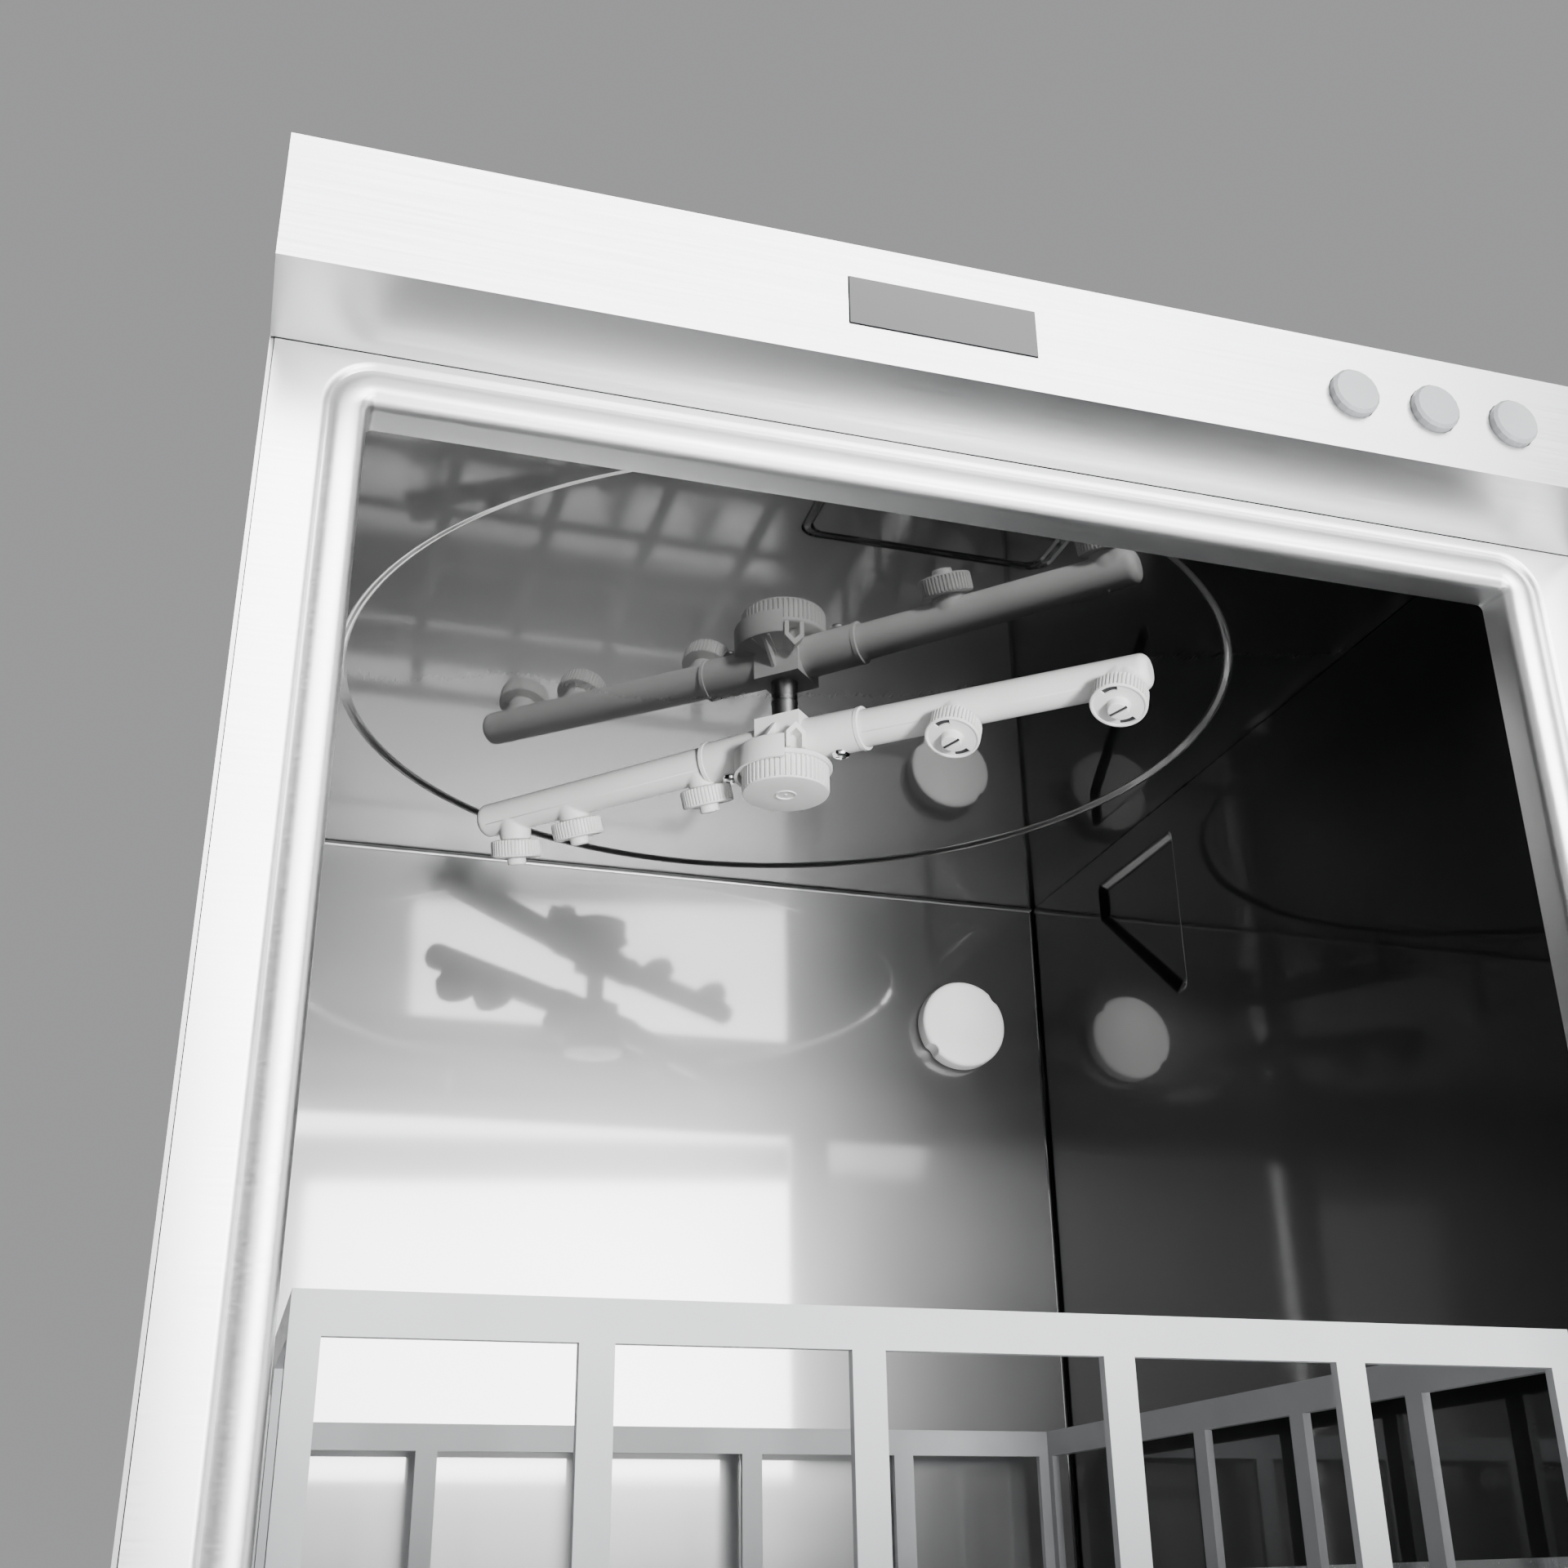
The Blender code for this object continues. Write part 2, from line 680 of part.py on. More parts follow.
def build_controls(machine):
    middle_z = (FASCIA_Z + CABINET_HEIGHT) / 2
    low = (-HALF_CABINET, -FASCIA_FRONT, FASCIA_Z)
    high = (HALF_CABINET, FRAME_FRONT_Y - GAP, CABINET_HEIGHT)
    fascia = open_box("control_fascia", low, high, (0, 0, 0), (0, MM, 0), LINER, "fascia", machine)
    window = [WINDOW_WIDTH / 2, WINDOW_HEIGHT / 2]
    hole_low = (WINDOW_X - window[0] - GAP, -FASCIA_FRONT - MM, middle_z - window[1] - GAP)
    hole_high = (WINDOW_X + window[0] + GAP, -FASCIA_FRONT + 3 * MM, middle_z + window[1] + GAP)
    cut(fascia, helper("window_hole", box_mesh(hole_low, hole_high), machine))
    glass_low = (WINDOW_X - window[0], -FASCIA_FRONT - 0.5 * MM, middle_z - window[1])
    glass_high = (WINDOW_X + window[0], -FASCIA_FRONT + 4 * MM, middle_z + window[1])
    place("display_window", box_mesh(glass_low, glass_high), "dark_glass", machine)
    for name, x in button_places().items():
        hole = rod_mesh(BUTTON_RADIUS + GAP, -3 * MM, 3 * MM, 18)
        turn = (TURN / 4, 0, 0)
        cut(fascia, helper(f"{name}_hole", hole, machine, (x, -FASCIA_FRONT, middle_z), turn))
        profile = [
            (0, BUTTON_PROUD),
            (BUTTON_RADIUS - 1 * MM, BUTTON_PROUD),
            (BUTTON_RADIUS, BUTTON_PROUD - 1 * MM),
            (BUTTON_RADIUS, -BUTTON_DEPTH),
            (0, -BUTTON_DEPTH),
        ]
        turned(name, profile, "grey_plastic", machine, (x, -FASCIA_FRONT, middle_z), turn, 18)


# Sub-parts: wash chamber


def build_chamber(machine):
    build_ceiling(machine)
    for side, name in ((-1, "chamber_left_wall"), (1, "chamber_right_wall")):
        build_side_wall(machine, name, side)
    low = (-HALF_CHAMBER + GAP, CHAMBER_BACK, TANK_TOP_Z + GAP)
    high = (HALF_CHAMBER - GAP, CHAMBER_BACK + LINER, CEILING_Z - GAP)
    place("chamber_back_wall", box_mesh(low, high), "chamber_steel", machine)
    build_wall_cap(machine)
    for side, name in ((-1, "rack_rail_left"), (1, "rack_rail_right")):
        build_rail(machine, name, side)


def build_ceiling(machine):
    outline = rectangle(
        -HALF_CHAMBER - LINER, -CHAMBER_FRONT, HALF_CHAMBER + LINER, CHAMBER_BACK + LINER
    )
    low_x, high_x = RECESS_LEFT, RECESS_RIGHT
    rim = rounded(rectangle(low_x, RECESS_FRONT, high_x, RECESS_REAR), 8 * MM)
    slope = RECESS_SLOPE
    floor = rounded(
        rectangle(low_x + slope, RECESS_FRONT + slope, high_x - slope, RECESS_REAR - 0.7 * slope), 5 * MM
    )
    recess = {"rim": rim, "floor": floor, "rise": RECESS_RISE}
    disc = {
        "rim": circle(RING_RADIUS, 60),
        "floor": circle(RING_RADIUS - RING_BAND, 60),
        "rise": RING_RISE,
        "pressings": [recess],
        "holes": [circle(SPINDLE_RADIUS + GAP, 24)],
    }
    pressed_sheet(
        "chamber_ceiling", outline, [disc], [], LINER, "chamber_steel", machine, (0, 0, CEILING_Z), (0, 0, 0)
    )


def build_side_wall(machine, name, side):
    """Each side has a three-cornered pocket, pressed outwards near the top."""
    bottom = TANK_TOP_Z + GAP - CEILING_Z
    front, back = -CHAMBER_FRONT, CHAMBER_BACK + LINER
    depth = POCKET_DROP - POCKET_TOP
    corners = [
        (POCKET_FRONT, -POCKET_TOP - depth),
        (POCKET_FRONT + 10 * MM, -POCKET_TOP - depth),
        (POCKET_REAR, -POCKET_TOP - 20 * MM),
        (POCKET_REAR, -POCKET_TOP),
        (POCKET_FRONT, -POCKET_TOP),
    ]
    slope = 4 * MM
    floor_corners = [
        (POCKET_FRONT + slope, -POCKET_TOP - depth + 1.6 * slope),
        (POCKET_FRONT + 9 * MM, -POCKET_TOP - depth + 1.6 * slope),
        (POCKET_REAR - slope, -POCKET_TOP - 18.5 * MM),
        (POCKET_REAR - slope, -POCKET_TOP - slope),
        (POCKET_FRONT + slope, -POCKET_TOP - slope),
    ]
    radius = 3.5 * MM
    mirrored = side < 0
    outline = rectangle(front, bottom, back, -GAP)
    rim = rounded(corners, radius)
    floor = rounded(floor_corners, 2 * MM)
    if mirrored:
        outline, rim, floor = ([(-x, y) for x, y in reversed(loop)] for loop in (outline, rim, floor))
    pocket = {"rim": rim, "floor": floor, "rise": POCKET_RISE}
    # The sheet's x runs along the wall, its y up and its z out of the chamber.
    facing = Matrix(((0, 0, side), (side, 0, 0), (0, 1, 0))).to_euler()
    place_at = (side * HALF_CHAMBER, 0, CEILING_Z)
    pressed_sheet(name, outline, [pocket], [], LINER, "chamber_steel", machine, place_at, facing)


def build_rail(machine, name, side):
    """An angle along the side wall, which the rack slides on."""
    wall = side * (HALF_CHAMBER - GAP)
    reach = side * (HALF_CHAMBER - GAP - RAIL_REACH)
    back = CHAMBER_BACK - 8 * MM
    front = -CHAMBER_FRONT + 6 * MM
    low = (min(wall, reach), front, RAIL_Z)
    high = (max(wall, reach), back, RAIL_Z + RAIL_HEIGHT)
    rail = place(name, box_mesh(low, high), "steel", machine)
    inner = wall - side * LINER
    past = reach - side * MM
    hollow_low = (min(inner, past), front - MM, RAIL_Z + LINER)
    hollow_high = (max(inner, past), back + MM, RAIL_Z + RAIL_HEIGHT + MM)
    cut(rail, helper(f"{name}_hollow", box_mesh(hollow_low, hollow_high), machine))


def build_wall_cap(machine):
    """A round cap on the back wall, with two scallops in its edge."""
    round_edge = 4 * MM
    arc = []
    for step in range(5):
        angle = TURN / 4 * (1 - step / 4)
        arc.append(
            (
                WALL_CAP_RADIUS - round_edge + round_edge * math.cos(angle),
                WALL_CAP_THICKNESS - round_edge + round_edge * math.sin(angle),
            )
        )
    profile = [(0, WALL_CAP_THICKNESS), *arc, (WALL_CAP_RADIUS, 0), (0, 0)]
    centre = (WALL_CAP_X, CHAMBER_BACK - GAP, CEILING_Z - WALL_CAP_DROP)
    facing = (TURN / 4, 0, 0)
    cap = turned("wall_cap", profile, "white_plastic", machine, centre, facing, 28)
    for index, angle in enumerate((math.radians(140), math.radians(-40))):
        reach = WALL_CAP_RADIUS + 0.55 * WALL_CAP_NOTCH
        x = centre[0] + reach * math.cos(angle)
        z = centre[2] + reach * math.sin(angle)
        notch = rod_mesh(WALL_CAP_NOTCH, -MM, WALL_CAP_THICKNESS + MM, 14)
        cut(cap, helper(f"cap_notch_{index + 1}", notch, machine, (x, centre[1], z), facing))


# Sub-parts: spray arms


def build_spindles(machine):
    top = SPINDLE_BASE_Z + LINER + 9 * MM
    bottom = ARM_Z - HUB_BELOW_ARM - NUT_HEIGHT + 5 * MM
    shoulder = SPINDLE_BASE_Z + LINER + GAP
    profile = [
        (SPINDLE_BORE, top - 4 * MM),
        (11 * MM, top - 4 * MM),
        (11 * MM, shoulder),
        (SPINDLE_RADIUS, shoulder),
        (SPINDLE_RADIUS, bottom),
        (SPINDLE_BORE, bottom),
    ]
    turned("upper_spindle", profile, "steel", machine, sides=20, ring=True)
    hub_bottom = LOWER_ARM_Z - HUB_BELOW_ARM
    profile = [
        (SPINDLE_BORE, LOWER_ARM_Z + HUB_ABOVE_ARM - MM),
        (SPINDLE_RADIUS, LOWER_ARM_Z + HUB_ABOVE_ARM - MM),
        (SPINDLE_RADIUS, hub_bottom - RUNNING_GAP),
        (LOWER_SPINDLE_RADIUS, hub_bottom - RUNNING_GAP),
        (LOWER_SPINDLE_RADIUS, TANK_FLOOR_Z + 3 * MM),
        (LOWER_SPINDLE_RADIUS + 6 * MM, TANK_FLOOR_Z + 3 * MM),
        (LOWER_SPINDLE_RADIUS + 6 * MM, TANK_FLOOR_Z + GAP),
        (LOWER_SPINDLE_RADIUS, TANK_FLOOR_Z + GAP),
        (LOWER_SPINDLE_RADIUS, TANK_FLOOR_Z - LINER - 8 * MM),
        (SPINDLE_BORE, TANK_FLOOR_Z - LINER - 8 * MM),
    ]
    turned("lower_spindle", profile, "steel", machine, sides=20, ring=True)


def tube_profile(reach, root_radius, tip_radius):
    """A hollow tube, closed at the tip: z is the distance from the spindle."""
    round_end = 3 * MM
    arc = []
    for step in range(4):
        angle = TURN / 4 * (1 - step / 3)
        arc.append(
            (
                tip_radius - round_end + round_end * math.cos(angle),
                reach - round_end + round_end * math.sin(angle),
            )
        )
    return [
        (0, reach),
        *arc,
        (root_radius, TUBE_START),
        (root_radius - TUBE_WALL, TUBE_START),
        (tip_radius - TUBE_WALL, reach - TUBE_WALL - round_end),
        (0, reach - TUBE_WALL - round_end),
    ]


def build_tube(name, half, reach, nozzles, facing, finish="white_plastic"):
    """One half's tube, with the necks that its nozzles screw on. The half's x points out along it."""
    profile = tube_profile(reach, TUBE_ROOT_RADIUS, TUBE_TIP_RADIUS)
    body = turned(name, profile, finish, half, rotation=(0, TURN / 4, 0), sides=16)
    for index, nozzle in enumerate(nozzles):
        turn = nozzle_turn(nozzle, facing)
        place_at = (nozzle["station"], 0, 0)
        neck = rod_mesh(NECK_RADIUS, -nozzle["neck"], -4 * MM, 16)
        join(body, helper(f"{name}_neck_{index + 1}", neck, half, place_at, turn))
    for index, nozzle in enumerate(nozzles):
        turn = nozzle_turn(nozzle, facing)
        place_at = (nozzle["station"], 0, 0)
        bore = rod_mesh(NOZZLE_BORE, -nozzle["neck"] - MM, 0, 8)
        cut(body, helper(f"{name}_bore_{index + 1}", bore, half, place_at, turn))
    return body


def nozzle_turn(nozzle, facing):
    """Nozzles point down, or up when facing is 1, tilted about the arm and splayed along it."""
    flip = 0 if facing < 0 else TURN / 2
    return (flip - nozzle["tilt"], -nozzle["splay"], 0)


def nozzle_at(station, neck=NECK_END, tilt=NOZZLE_TILT, splay=0.0):
    return {"station": station, "neck": neck, "tilt": tilt, "splay": splay}


def build_nozzle_cap(name, half, nozzle, facing):
    top = -nozzle["neck"] - GAP
    face = top - CAP_HEIGHT
    edge = 0.7 * MM
    profile = [
        (0, top),
        (CAP_RADIUS - edge, top),
        (CAP_RADIUS, top - edge),
        (CAP_RADIUS, face + edge),
        (CAP_RADIUS - edge, face),
        (PLUG_RADIUS, face),
        (PLUG_RADIUS, face - PLUG_HEIGHT),
        (0, face - PLUG_HEIGHT),
    ]
    place_at = (nozzle["station"], 0, 0)
    return turned(name, profile, "white_plastic", half, place_at, nozzle_turn(nozzle, facing), 20)


def build_upper_arm(arm):
    """The arm's x points to the right-hand tip. Each half droops a little from the hub."""
    right = add_empty("upper_arm_right_half", arm, (0, 0, ARM_Z), (0, ARM_DROOP, 0))
    turned_round = (0, ARM_DROOP, TURN / 2)
    left = add_empty("upper_arm_left_half", arm, (0, 0, ARM_Z), turned_round)
    right_nozzles = [
        nozzle_at(RIGHT_INNER_STATION),
        nozzle_at(RIGHT_REACH - RIGHT_TIP_INSET),
    ]
    left_tip = LEFT_REACH - LEFT_TIP_INSET
    left_nozzles = [
        nozzle_at(LEFT_INNER_STATION),
        nozzle_at(left_tip - LEFT_PITCH),
        nozzle_at(left_tip, LONG_NECK_END, TIP_NOZZLE_TILT, TIP_NOZZLE_SPLAY),
    ]
    build_tube("upper_arm_tube_right", right, RIGHT_REACH, right_nozzles, -1)
    build_tube("upper_arm_tube_left", left, LEFT_REACH, left_nozzles, -1)
    for index, nozzle in enumerate(right_nozzles):
        build_nozzle_cap(f"upper_nozzle_right_{index + 1}", right, nozzle, -1)
    for index, nozzle in enumerate(left_nozzles):
        build_nozzle_cap(f"upper_nozzle_left_{index + 1}", left, nozzle, -1)
    build_upper_hub(arm, right, left, left_nozzles[0])
    build_hub_nut(arm)
    for name, half in (("upper_arm_screw_right", right), ("upper_arm_screw_left", left)):
        build_arm_screw(name, half)


def build_upper_hub(arm, right, left, inner_nozzle):
    bottom = ARM_Z - HUB_BELOW_ARM
    low = (-HUB_LEFT, -HUB_HALF_WIDTH, bottom)
    high = (HUB_RIGHT, HUB_HALF_WIDTH, ARM_Z + HUB_ABOVE_ARM)
    hub = place("upper_arm_hub", box_mesh(low, high), "white_plastic", arm)
    along = (0, TURN / 4, 0)
    for name, half in (("sleeve_right", right), ("sleeve_left", left)):
        sleeve = rod_mesh(SLEEVE_RADIUS, 5 * MM, SLEEVE_END, 20)
        join(hub, helper(name, sleeve, half, (0, 0, 0), along))
    start, end = math.radians(-64), math.radians(-236)
    web = prism_mesh(sector(8 * MM, COWL_RADIUS, end, start, 12), bottom, bottom + 2 * MM)
    skirt_top = bottom + 7 * MM
    skirt_bottom = ARM_Z - COWL_DROP
    inner = COWL_RADIUS - COWL_WALL
    skirt = prism_mesh(sector(inner, COWL_RADIUS, end, start, 12), skirt_bottom, skirt_top)
    join(hub, helper("cowl_web", web, arm), helper("cowl_skirt", skirt, arm))
    gusset_outline = [
        (-HUB_HALF_WIDTH + MM, ARM_Z + HUB_ABOVE_ARM - 2 * MM),
        (-COWL_RADIUS + 2 * MM, skirt_top - 1 * MM),
        (-COWL_RADIUS + 2 * MM, bottom + MM),
        (-HUB_HALF_WIDTH + MM, bottom + MM),
    ]
    gusset = prism_mesh(gusset_outline, -0.8 * MM, 0.8 * MM)
    # The gusset's outline lies across the arm: its x runs along the arm's y, and its y up.
    facing = Matrix(((0, 0, 1), (1, 0, 0), (0, 1, 0))).to_euler()
    join(hub, helper("hub_gusset", gusset, arm, (0, 0, 0), facing))
    bore = rod_mesh(SPINDLE_RADIUS + GAP, bottom - MM, ARM_Z + HUB_ABOVE_ARM + MM, 24)
    cut(hub, helper("hub_bore", bore, arm))
    for name, half in (("socket_right", right), ("socket_left", left)):
        socket = rod_mesh(SLEEVE_BORE, TUBE_START - GAP, SLEEVE_END + MM, 20)
        cut(hub, helper(name, socket, half, (0, 0, 0), along))
    for name, half in (("water_way_right", right), ("water_way_left", left)):
        way = rod_mesh(4.5 * MM, 0, TUBE_START + MM, 12)
        cut(hub, helper(name, way, half, (0, 0, 0), along))
    notch = rod_mesh(NECK_RADIUS + GAP, -LONG_NECK_END, 0, 20)
    notch_at = (inner_nozzle["station"], 0, 0)
    cut(hub, helper("neck_notch", notch, left, notch_at, nozzle_turn(inner_nozzle, -1)))
    for name, half in (("screw_hole_right", right), ("screw_hole_left", left)):
        hole = rod_mesh(SCREW_SHANK_RADIUS + GAP, -SLEEVE_RADIUS - MM, -SLEEVE_BORE + MM, 12)
        cut(hub, helper(name, hole, half, (SCREW_STATION, 0, 0)))


def build_hub_nut(arm):
    top = ARM_Z - HUB_BELOW_ARM - GAP
    bottom = top - NUT_HEIGHT
    bore = SPINDLE_RADIUS + GAP
    under_flange = top - NUT_FLANGE
    edge = 0.7 * MM
    boss = 4.5 * MM
    profile = [
        (bore, top),
        (NUT_FLANGE_RADIUS, top),
        (NUT_FLANGE_RADIUS, under_flange),
        (NUT_RADIUS, under_flange),
        (NUT_RADIUS, bottom + edge),
        (NUT_RADIUS - edge, bottom),
        (boss, bottom),
        (boss, bottom - 0.4 * MM),
        (0, bottom - 0.4 * MM),
        (0, bottom + 3 * MM),
        (bore, bottom + 3 * MM),
    ]
    # The nut is blind, so its profile starts and ends on the axis, with the bore on the way.
    outer = profile[1:9]
    inner = [profile[9], profile[10], profile[0]]
    turned("upper_arm_nut", [*inner, *outer], "white_plastic", arm, sides=28)


def build_arm_screw(name, half):
    seat = -SLEEVE_RADIUS - GAP
    tip = -SLEEVE_BORE + 0.2 * MM
    profile = [
        (0, tip),
        (SCREW_SHANK_RADIUS, tip),
        (SCREW_SHANK_RADIUS, seat),
        (SCREW_HEAD_RADIUS, seat),
        (SCREW_HEAD_RADIUS - 0.6 * MM, seat - 0.7 * SCREW_HEAD),
        (0, seat - SCREW_HEAD),
    ]
    turned(name, profile, "chrome", half, (SCREW_STATION, 0, 0), sides=16)


def build_lower_arm(arm):
    """The lower arm's jets point up at the rack. Its caps are moulded on."""
    bottom = LOWER_ARM_Z - HUB_BELOW_ARM
    low = (-HUB_RIGHT, -HUB_HALF_WIDTH, bottom)
    high = (HUB_RIGHT, HUB_HALF_WIDTH, LOWER_ARM_Z + HUB_ABOVE_ARM)
    hub = place("lower_arm_hub", box_mesh(low, high), "white_plastic", arm)
    right = add_empty("lower_arm_right_half", arm, (0, 0, LOWER_ARM_Z))
    left = add_empty("lower_arm_left_half", arm, (0, 0, LOWER_ARM_Z), (0, 0, TURN / 2))
    along = (0, TURN / 4, 0)
    for name, half in (("lower_sleeve_right", right), ("lower_sleeve_left", left)):
        sleeve = rod_mesh(SLEEVE_RADIUS, 5 * MM, SLEEVE_END, 20)
        join(hub, helper(name, sleeve, half, (0, 0, 0), along))
    bore_top = LOWER_ARM_Z + HUB_ABOVE_ARM - MM + GAP
    bore = rod_mesh(SPINDLE_RADIUS + GAP, bottom - MM, bore_top, 24)
    cut(hub, helper("lower_hub_bore", bore, arm))
    for name, half in (("lower_socket_right", right), ("lower_socket_left", left)):
        socket = rod_mesh(SLEEVE_BORE, TUBE_START - GAP, SLEEVE_END + MM, 20)
        cut(hub, helper(name, socket, half, (0, 0, 0), along))
    stations = {
        "right": (72 * MM, 112 * MM, LOWER_REACH - RIGHT_TIP_INSET),
        "left": (92 * MM, LOWER_REACH - RIGHT_TIP_INSET),
    }
    for side, half in (("right", right), ("left", left)):
        nozzles = [nozzle_at(station, LOWER_NECK_END) for station in stations[side]]
        body = build_tube(f"lower_arm_tube_{side}", half, LOWER_REACH, [], 1)
        for index, nozzle in enumerate(nozzles):
            turn = nozzle_turn(nozzle, 1)
            top = -nozzle["neck"] + MM
            profile = [
                (0, -4 * MM),
                (NECK_RADIUS, -4 * MM),
                (NECK_RADIUS, top),
                (CAP_RADIUS - 2 * MM, top),
                (CAP_RADIUS - 2 * MM, top - LOWER_CAP_HEIGHT),
                (0, top - LOWER_CAP_HEIGHT),
            ]
            cap_name = f"lower_cap_{side}_{index + 1}"
            join(body, turned(cap_name, profile, None, half, (nozzle["station"], 0, 0), turn, 14))


# Sub-parts: tank, filter and rack


def standpipe_place():
    x = -HALF_CHAMBER + STANDPIPE_INSET
    return x, CHAMBER_BACK - STANDPIPE_INSET


def sump_place():
    return PUMP_X - 100 * MM, PUMP_Y


def build_tank(machine):
    outline = rectangle(
        -HALF_CHAMBER - LINER, -CHAMBER_FRONT, HALF_CHAMBER + LINER, CHAMBER_BACK + LINER
    )
    rim_low = (-HALF_CHAMBER + TANK_FLANGE, -CHAMBER_FRONT + TANK_FLANGE)
    rim_high = (HALF_CHAMBER - TANK_FLANGE, CHAMBER_BACK - TANK_FLANGE)
    rim = rounded(rectangle(*rim_low, *rim_high), 20 * MM)
    slope = TANK_SLOPE
    floor_low = (rim_low[0] + slope, rim_low[1] + slope)
    floor_high = (rim_high[0] - slope, rim_high[1] - slope)
    floor = rounded(rectangle(*floor_low, *floor_high), 16 * MM)
    # Local z points down, so the tank's y runs the other way.
    holes = [
        circle(LOWER_SPINDLE_RADIUS + GAP, 24),
        circle(HOSE_RADIUS - 2 * MM, 24, (sump_place()[0], -sump_place()[1])),
        circle(STANDPIPE_RADIUS - 4 * MM, 20, (standpipe_place()[0], -standpipe_place()[1])),
    ]
    outline, rim, floor = ([(x, -y) for x, y in reversed(loop)] for loop in (outline, rim, floor))
    pan = {"rim": rim, "floor": floor, "rise": TANK_DEPTH, "holes": holes}
    down = (TURN / 2, 0, 0)
    pressed_sheet("tank", outline, [pan], [], LINER, "chamber_steel", machine, (0, 0, TANK_TOP_Z), down)


def build_filter(machine):
    """The filter tray lies on the tank's flange, round the lower spindle and the standpipe."""
    edge = 1.5 * MM
    outline = rectangle(
        -HALF_CHAMBER + edge, -CHAMBER_FRONT + edge, HALF_CHAMBER - edge, CHAMBER_BACK - edge
    )
    holes = [
        circle(LOWER_SPINDLE_RADIUS + 3 * MM, 24),
        circle(STANDPIPE_RADIUS + 2 * MM, 20, standpipe_place()),
    ]
    bottom = TANK_TOP_Z + GAP
    place_at = (0, 0, bottom)
    pressed_sheet("filter_tray", outline, [], holes, FILTER_THICKNESS, "steel", machine, place_at, (0, 0, 0))


def build_standpipe(machine):
    top = SILL_Z - STANDPIPE_TOP_BELOW_SILL
    bottom = TANK_FLOOR_Z + GAP
    profile = [
        (STANDPIPE_RADIUS - 3 * MM, top),
        (STANDPIPE_RADIUS, top),
        (STANDPIPE_RADIUS, bottom),
        (STANDPIPE_RADIUS - 3 * MM, bottom),
    ]
    x, y = standpipe_place()
    turned("overflow_standpipe", profile, "grey_plastic", machine, (x, y, 0), sides=20, ring=True)


def build_element(machine):
    """A heating loop round the lower spindle, whose two ends stand on the tank's floor."""
    level = TANK_FLOOR_Z + 20 * MM
    foot = TANK_FLOOR_Z + GAP
    reach_x, reach_y = 120 * MM, 60 * MM
    corners = [
        (reach_x + 20 * MM, -15 * MM, foot),
        (reach_x + 20 * MM, -15 * MM, level),
        (reach_x - 20 * MM, -reach_y, level),
        (-reach_x, -reach_y, level),
        (-reach_x, reach_y, level),
        (reach_x - 20 * MM, reach_y, level),
        (reach_x + 20 * MM, 15 * MM, level),
        (reach_x + 20 * MM, 15 * MM, foot),
    ]
    tube("heating_element", bent_route(corners, 14 * MM), ELEMENT_RADIUS, "steel", machine)


def build_rack(machine):
    half = RACK_WIDTH / 2
    low = (-half, -half, RACK_Z)
    high = (half, half, RACK_Z + RACK_HEIGHT)
    rack = open_box("glass_rack", low, high, (0, 0, 0), (0, 0, MM), RACK_WALL, "rack_plastic", machine)
    bar = 5 * MM
    pitch = (RACK_WIDTH - 2 * RACK_WALL) / RACK_CELLS
    starts = [-half + RACK_WALL + pitch * index + bar for index in range(RACK_CELLS)]
    cell = pitch - 2 * bar
    windows = []
    for x in starts:
        for y in starts:
            windows.append(((x, y, RACK_Z - MM), (x + cell, y + cell, RACK_Z + RACK_WALL + MM)))
    side_low = RACK_Z + RACK_WALL + 8 * MM
    side_high = RACK_Z + RACK_HEIGHT - 12 * MM
    for start in starts:
        for side in (-1, 1):
            wall = side * (half - RACK_WALL / 2)
            windows.append(((start, wall - 4 * MM, side_low), (start + cell, wall + 4 * MM, side_high)))
            windows.append(((wall - 4 * MM, start, side_low), (wall + 4 * MM, start + cell, side_high)))
    cut(rack, helper("rack_windows", boxes_mesh(windows), machine))


# Sub-parts: machine space


